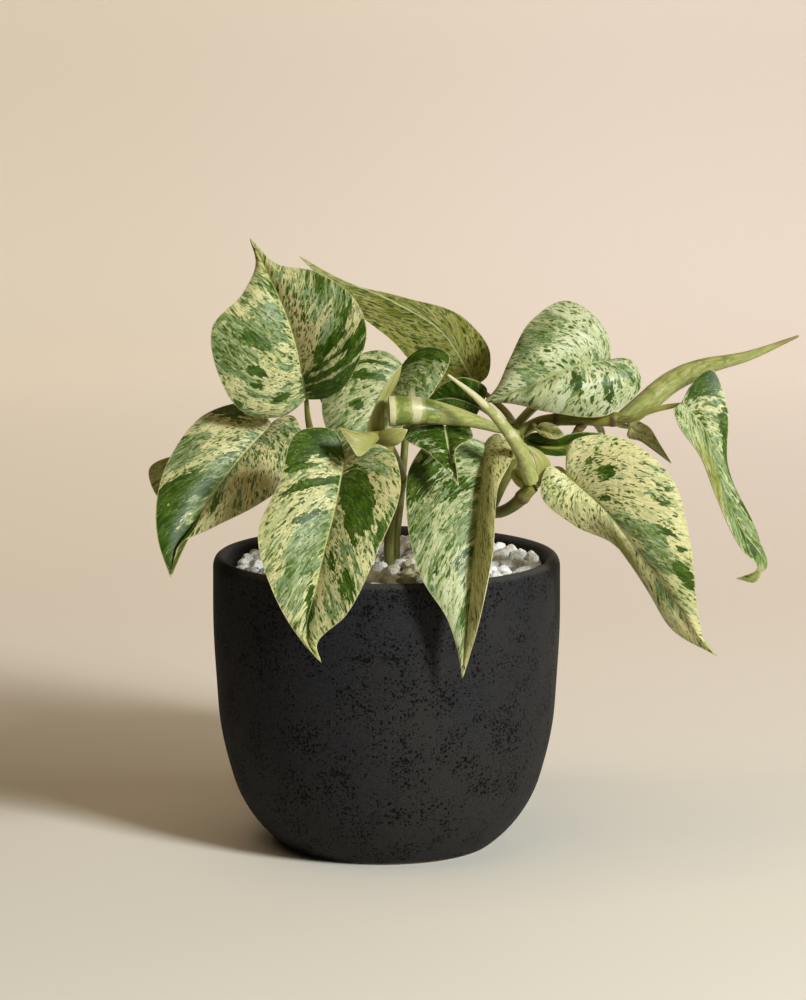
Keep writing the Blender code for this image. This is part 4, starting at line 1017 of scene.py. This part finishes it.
upper_side = leaf_skin("marbled_leaf_upper", False)
lower_side = leaf_skin("marbled_leaf_under", True)
blades = {name: Blade(form) for name, form in LEAVES.items()}
for number, (name, form) in enumerate(LEAVES.items()):
    shape = bmesh.new()
    add_blade(shape, blades[name], number, form)
    piece = add_piece(name.replace("leaf", "blade"), shape, upper_side, lower_side, node=name,
                      slot="marbled_leaf")
    thickened(piece, BLADE_THICKNESS)

# The stems are made once the blades are known, so that each petiole runs right into the underside of the
# blade that it carries. The tubes of one stem are one piece.
PETIOLE_TIP_RADIUS = 0.9
PETIOLE_END = 0.012
PETIOLE_SINK = 0.4
PETIOLE_UP = np.array([0.2])
STRAIGHT_TO = POT_HEIGHT + 3
for name, stem in STEMS.items():
    shape = bmesh.new()
    layers = shape.verts.layers.float_vector.new("grain"), shape.verts.layers.float.new("scar")
    for number, part in enumerate(stem["tubes"]):
        route = in_place(part["route"])
        radii = list(part["radii"])
        if number == 0:
            x, y = stem["foot"]
            heights = (HOLE_BOTTOM, SOIL_TOP, POT_HEIGHT, STRAIGHT_TO)
            route = np.vstack([[(x * MM, y * MM, height * MM) for height in heights], route])
            radii = [stem["radius"]] * 3 + radii
        if "blade" in part:
            blade = blades[part["blade"]]
            sinus = along(blade.midrib, PETIOLE_END)
            route = np.vstack([route, sinus - blade.upward(PETIOLE_UP)[0] * PETIOLE_SINK * MM])
            radii.append(PETIOLE_TIP_RADIUS)
        add_tube(shape, layers, route, radii, part.get("rings", ()))
    bmesh.ops.recalc_face_normals(shape, faces=shape.faces)
    add_piece(name + "_skin", shape, stem_finish, node=name, slot="green_stem")


# Leaf sheaths wrap the nodes of the two front vines: thin, pale and a little folded, each grown on its
# stem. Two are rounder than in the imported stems, and two have slightly other margins.
SHEATH_THICKNESS = 0.6
SHEATH_ROWS = 30
SHEATH_COLUMNS = 16
SHEATHS = {
    "tall_sheath": dict(
        midrib=((-5, 175, -55), (-2.5, 189, -54), (6.5, 208.5, -50)),
        left=((-8, 178, -56), (-5, 190, -56), (2, 203, -52)),
        right=((-2, 178, -53), (-0.5, 191, -51), (5, 202, -50)), cup=0.5),
    "tongue_sheath": dict(
        midrib=((-4, 175.5, -60), (2, 177, -67), (9, 180, -68)),
        left=((-2.5, 179, -63), (3, 180.5, -67)),
        right=((-1, 173.5, -62), (6, 174.5, -67)), cup=1.3, rib=-3.0),
    "petiole_wing": dict(
        midrib=((-3.5, 176, -62), (-10, 177, -72.5), (-20, 180.5, -75)),
        left=((-6, 178, -63), (-13, 178.6, -72)),
        right=((-6, 173.5, -71), (-12.5, 168.5, -77), (-15.8, 173.5, -77)), cup=1.5, rib=-2.0),
    "right_cup_sheath": dict(
        midrib=((63, 157, -50), (66.8, 163.5, -52), (59, 173.5, -52)),
        left=((64.6, 160.5, -54), (63.6, 167.5, -55)),
        right=((68.5, 159.6, -49), (70.5, 165.5, -49), (64.5, 171.5, -50)), cup=0.8),
    "left_cup_sheath": dict(
        midrib=((62, 155, -50), (55.5, 160.5, -47), (57, 167, -46)),
        left=((58.5, 154.5, -50), (53.5, 160, -49)),
        right=((60, 158.5, -48), (57.5, 162, -47)), cup=0.5),
}
PLAIN = dict(base=(0, 0, 0, 0, 0), marks=())


def sheath_skin():
    skin = Finish("pale_sheath", roughness=0.45, specular_ior_level=0.45)
    vein = skin.attribute("vein")
    threads = skin.drawn_out(vein, (0.12, 1.6, 0.0), 3.0)
    tone = skin.coated(
        colour(186, 184, 112),
        (threads.above(0.5, 0.2), 160, 162, 86),
        ((1 - skin.part(vein, 2).above(0.3, 0.3)) * 0.6, 216, 208, 146))
    skin.wear(base_color=tone)
    skin.bump(threads, 0.0003, 0.4)
    skin.let_through(0.3, colour(190, 194, 96))
    return skin


sheath_finish = sheath_skin()
for number, (name, form) in enumerate(SHEATHS.items()):
    shape = bmesh.new()
    add_blade(shape, Blade(form), number, PLAIN, SHEATH_ROWS, SHEATH_COLUMNS)
    piece = add_piece(name, shape, sheath_finish, sheath_finish, slot="green_stem")
    thickened(piece, SHEATH_THICKNESS)


# Young leaves come out rolled round themselves. The thick shoot in front is banded in green and cream and
# shines, and two slender rolled leaves taper to a point. Each is one sheet, wound a turn and a quarter. The
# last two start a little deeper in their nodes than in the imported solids.
ROLL_THICKNESS = 0.45
DEEP, PALE, BROWN = range(3)
ROLLED = {
    "shoot_front": dict(
        route=((0.5, 188.2, -60), (13, 188.6, -59), (26, 186.6, -55), (37, 184, -47),
               (47, 180.8, -34), (53, 179.4, -23), (56.3, 178.4, -15.8)),
        radii=(6.6, 5.6, 4.4, 2.9, 2.0, 1.6, 1.3), start=1.0, base=(0.1, 0.15, 0.0),
        bands=((PALE, -1.0, 3.2, 1.8), (DEEP, 4.0, 9.2, 0.9), (PALE, 9.6, 13.2, 1.2),
               (DEEP, 14.0, 22.0, 0.5))),
    "rolled_leaf_centre": dict(
        route=((62.3, 157.5, -51.5), (57.5, 171, -60), (49.5, 182.5, -66), (38.5, 194, -72),
               (26.2, 203.8, -79)),
        radii=(3.4, 3.0, 2.2, 1.2, 0.3), start=2.5, base=(-0.5, 0.5, 0.1),
        bands=((DEEP, 14.0, 22.0, 0.5), (PALE, 44.0, 70.0, 0.8))),
    "rolled_leaf_right": dict(
        route=((101.8, 184.2, -13.2), (112.5, 193, -11.5), (121, 200, -9), (134, 206.5, -8),
               (155, 212, -9), (176.5, 220.5, -10)),
        radii=(4.2, 4.9, 4.6, 2.8, 1.6, 0.3), start=0.6, base=(0.1, 0.0, 0.2),
        bands=((BROWN, 74.0, 95.0, 0.7), (DEEP, 14.0, 60.0, 0.25))),
}
ROLL_TURNS = 1.25
ROLL_STEP = 0.16
ROLL_TWIST = 0.5
ROUNDED_END = 0.9
ROLL_COLUMNS = 48
ROLL_ROWS = 110
ROLL_GRAIN = 14.0


def rolled_sheet(form):
    """A sheet wound round a route, each turn a little wider than the last, and drawn in at both ends."""
    shape = bmesh.new()
    grain = shape.verts.layers.float_vector.new("grain")
    bands = shape.verts.layers.float_vector.new("bands")
    path = smooth_path(in_place(form["route"]))
    length = path_length(path)
    born, drawn = add_sheet(shape, ROLL_COLUMNS, ROLL_ROWS)
    wound = (drawn[:, 0] + 1.0) / 2.0
    share = (drawn[:, 1] + 1.0) / 2.0
    turn = form["start"] + wound * ROLL_TURNS * 2.0 * math.pi + share * ROLL_TWIST
    size = np.interp(share, np.linspace(0.0, 1.0, len(form["radii"])), form["radii"])
    from_end = np.minimum(share, 1.0 - share) * length / ROUNDED_END
    drawn_in = np.sqrt(1.0 - (1.0 - np.clip(from_end, 0.0, 1.0))**2)
    radius = size * (1.0 - ROLL_STEP + ROLL_STEP * wound) * np.maximum(drawn_in, 0.02)
    places = tube_places(path, turn, share, radius)
    pushed = np.tile(np.array(form["base"]), (len(born), 1))
    for kind, first, last, strength in form["bands"]:
        middle, half = (first + last) / 2.0, (last - first) / 2.0
        pushed[:, kind] += strength * np.exp(-(np.abs(share * length - middle) / half)**6)
    for index, spot in enumerate(born):
        spot.co = places[index]
        spot[grain] = (wound[index] * ROLL_GRAIN, 0.0, share[index] * length)
        spot[bands] = pushed[index]
    return shape


def young_skin():
    skin = Finish("rolled_young_leaf", roughness=0.3, specular_ior_level=0.5)
    grain, bands = skin.attribute("grain"), skin.attribute("bands")
    deep_push, pale_push, brown_push = (skin.part(bands, axis) for axis in range(3))
    patches = skin.drawn_out(grain, (0.3, 0.0, 0.17), 4.0) - 0.5
    threads = skin.drawn_out(grain, (1.9, 0.0, 0.22), 3.0) - 0.5
    flecks = skin.drawn_out(grain, (1.5, 0.0, 0.8), 2.0) - 0.5
    plain = skin.coated(colour(180, 182, 112), (threads.above(0.0, 0.15), 150, 158, 84))
    green = skin.coated(colour(102, 126, 48), (threads.above(0.0, 0.2), 130, 144, 66))
    tone = skin.coated(
        skin.blend((deep_push + patches * 3.2 + threads * 1.2).above(0.6, 0.25), plain, green),
        ((pale_push - patches * 2.6 + threads * 1.2).above(0.75, 0.2) * 0.9, 218, 212, 166),
        ((flecks * 6.0).above(1.0, 0.15) * 0.75, 210, 212, 158),
        ((flecks * -6.0).above(1.1, 0.15) * 0.6, 92, 116, 44),
        ((brown_push + threads).above(0.5, 0.4) * 0.8, 150, 122, 74))
    skin.wear(base_color=tone, roughness=0.34 + 0.1 * threads)
    skin.bump(threads, 0.0004, 0.5)
    skin.let_through(0.15, colour(190, 200, 96))
    return skin


young_finish = young_skin()
for name, form in ROLLED.items():
    piece = add_piece(name + "_sheet", rolled_sheet(form), young_finish, young_finish, node=name,
                      slot="pale_shoot")
    thickened(piece, ROLL_THICKNESS)


# The plant stands on a wide pale paper sweep that curves up far behind it and glows softly at the back. A
# key light comes from the right and front, and a wide warm one from above.
SWEEP_HALF_WIDTH = 6.0
SWEEP_FRONT = -5.0
SWEEP_BEND = 1.9
SWEEP_RADIUS = 0.5
SWEEP_TOP = 3.0
GLOW_LEFT = (0.37, 0.325, 0.255, 1.0)
GLOW_RIGHT = (0.455, 0.395, 0.35, 1.0)
DARKNESS = (0.0, 0.0, 0.0, 1.0)
LIGHTS_AIM = 0.13
ROOM_TINT = (1.0, 0.9, 0.78, 1.0)
ROOM_STRENGTH = 0.03


def add_stage(name, shape, finish):
    """Makes a bmesh a smooth part of the stage."""
    mesh = bpy.data.meshes.new(name)
    shape.to_mesh(mesh)
    shape.free()
    mesh.materials.append(finish.material)
    mesh.shade_smooth()
    prop = bpy.data.objects.new(name, mesh)
    bpy.context.scene.collection.objects.link(prop)
    return prop


def paper():
    sheet = Finish("warm_paper", roughness=0.9, specular_ior_level=0.2, emission_strength=1.0)
    place = sheet.place()
    clouds = sheet.grain(place, 1.2, 2.0)
    across, depth, height = (sheet.part(place, axis) for axis in range(3))
    tone = sheet.coated(
        colour(231, 226, 213),
        (depth.above(0.35, 0.3), 224, 212, 196),
        (clouds * 0.1, 218, 212, 200))
    far = ((depth - 0.1) / 1.6).maths("MAXIMUM", 0.0).maths("MINIMUM", 1.0).maths("POWER", 0.7)
    glow = sheet.blend(across.above(0.0, 0.4), GLOW_LEFT, GLOW_RIGHT)
    lit = sheet.blend(far * (1 - 0.24 * height.above(0.17, 0.17)), DARKNESS, glow)
    sheet.wear(base_color=tone, emission_color=lit)
    return sheet


shape = bmesh.new()
outline = [(SWEEP_FRONT, 0.0), (SWEEP_BEND, 0.0)]
for degrees in range(6, 91, 6):
    turn = math.radians(degrees)
    outline.append((SWEEP_BEND + SWEEP_RADIUS * math.sin(turn), SWEEP_RADIUS * (1 - math.cos(turn))))
outline.append((SWEEP_BEND + SWEEP_RADIUS, SWEEP_TOP))
corners = [shape.verts.new((-SWEEP_HALF_WIDTH, y, z)) for y, z in outline]
section = [shape.edges.new(pair) for pair in zip(corners, corners[1:])]
swept = bmesh.ops.extrude_edge_only(shape, edges=section)["geom"]
bmesh.ops.translate(shape, verts=[item for item in swept if isinstance(item, bmesh.types.BMVert)],
                    vec=(2 * SWEEP_HALF_WIDTH, 0, 0))
add_stage("sweep", shape, paper())


# A black card at the left, which the camera doesn't see, keeps the floor's light off the shaded side of the
# pot. It stands upright just outside the picture and casts no shadow.
CARD_PLACE = -0.3
CARD_SIZE = 0.5
CARD_LIFT = 0.01
black = Finish("black_card", base_color=(0.004, 0.004, 0.004, 1.0), roughness=1.0, specular_ior_level=0.0)
shape = bmesh.new()
bmesh.ops.create_grid(shape, x_segments=1, y_segments=1, size=CARD_SIZE)
quarter_turn = Matrix.Rotation(math.radians(90), 3, "Y")
bmesh.ops.rotate(shape, verts=shape.verts, cent=(0, 0, 0), matrix=quarter_turn)
bmesh.ops.translate(shape, verts=shape.verts, vec=(CARD_PLACE, 0.0, CARD_SIZE + CARD_LIFT))
card = add_stage("black_card", shape, black)
card.visible_camera = False
card.visible_shadow = False


def add_light(name, azimuth, elevation, distance, size, watts, tint):
    """A square soft light aimed at the plant. Azimuth 0 is in front of it and 90 on its right."""
    lamp = bpy.data.lights.new(name, "AREA")
    lamp.size = size
    lamp.energy = watts
    lamp.color = tint
    turn, lift = math.radians(azimuth), math.radians(elevation)
    way = Vector((math.sin(turn) * math.cos(lift), -math.cos(turn) * math.cos(lift), math.sin(lift)))
    light = bpy.data.objects.new(name, lamp)
    light.location = Vector((0.0, 0.0, LIGHTS_AIM)) + way * distance
    light.rotation_euler = way.to_track_quat("Z", "Y").to_euler()
    bpy.context.scene.collection.objects.link(light)


add_light("key", 43, 27, 2.2, 0.42, 57.0, (0.955, 0.989, 1.0))
add_light("overhead", -50, 70, 2.0, 1.6, 12.5, (1.0, 0.74, 0.445))
world = bpy.data.worlds.new("room")
world.use_nodes = True
background = world.node_tree.nodes["Background"]
background.inputs["Color"].default_value = ROOM_TINT
background.inputs["Strength"].default_value = ROOM_STRENGTH
bpy.context.scene.world = world
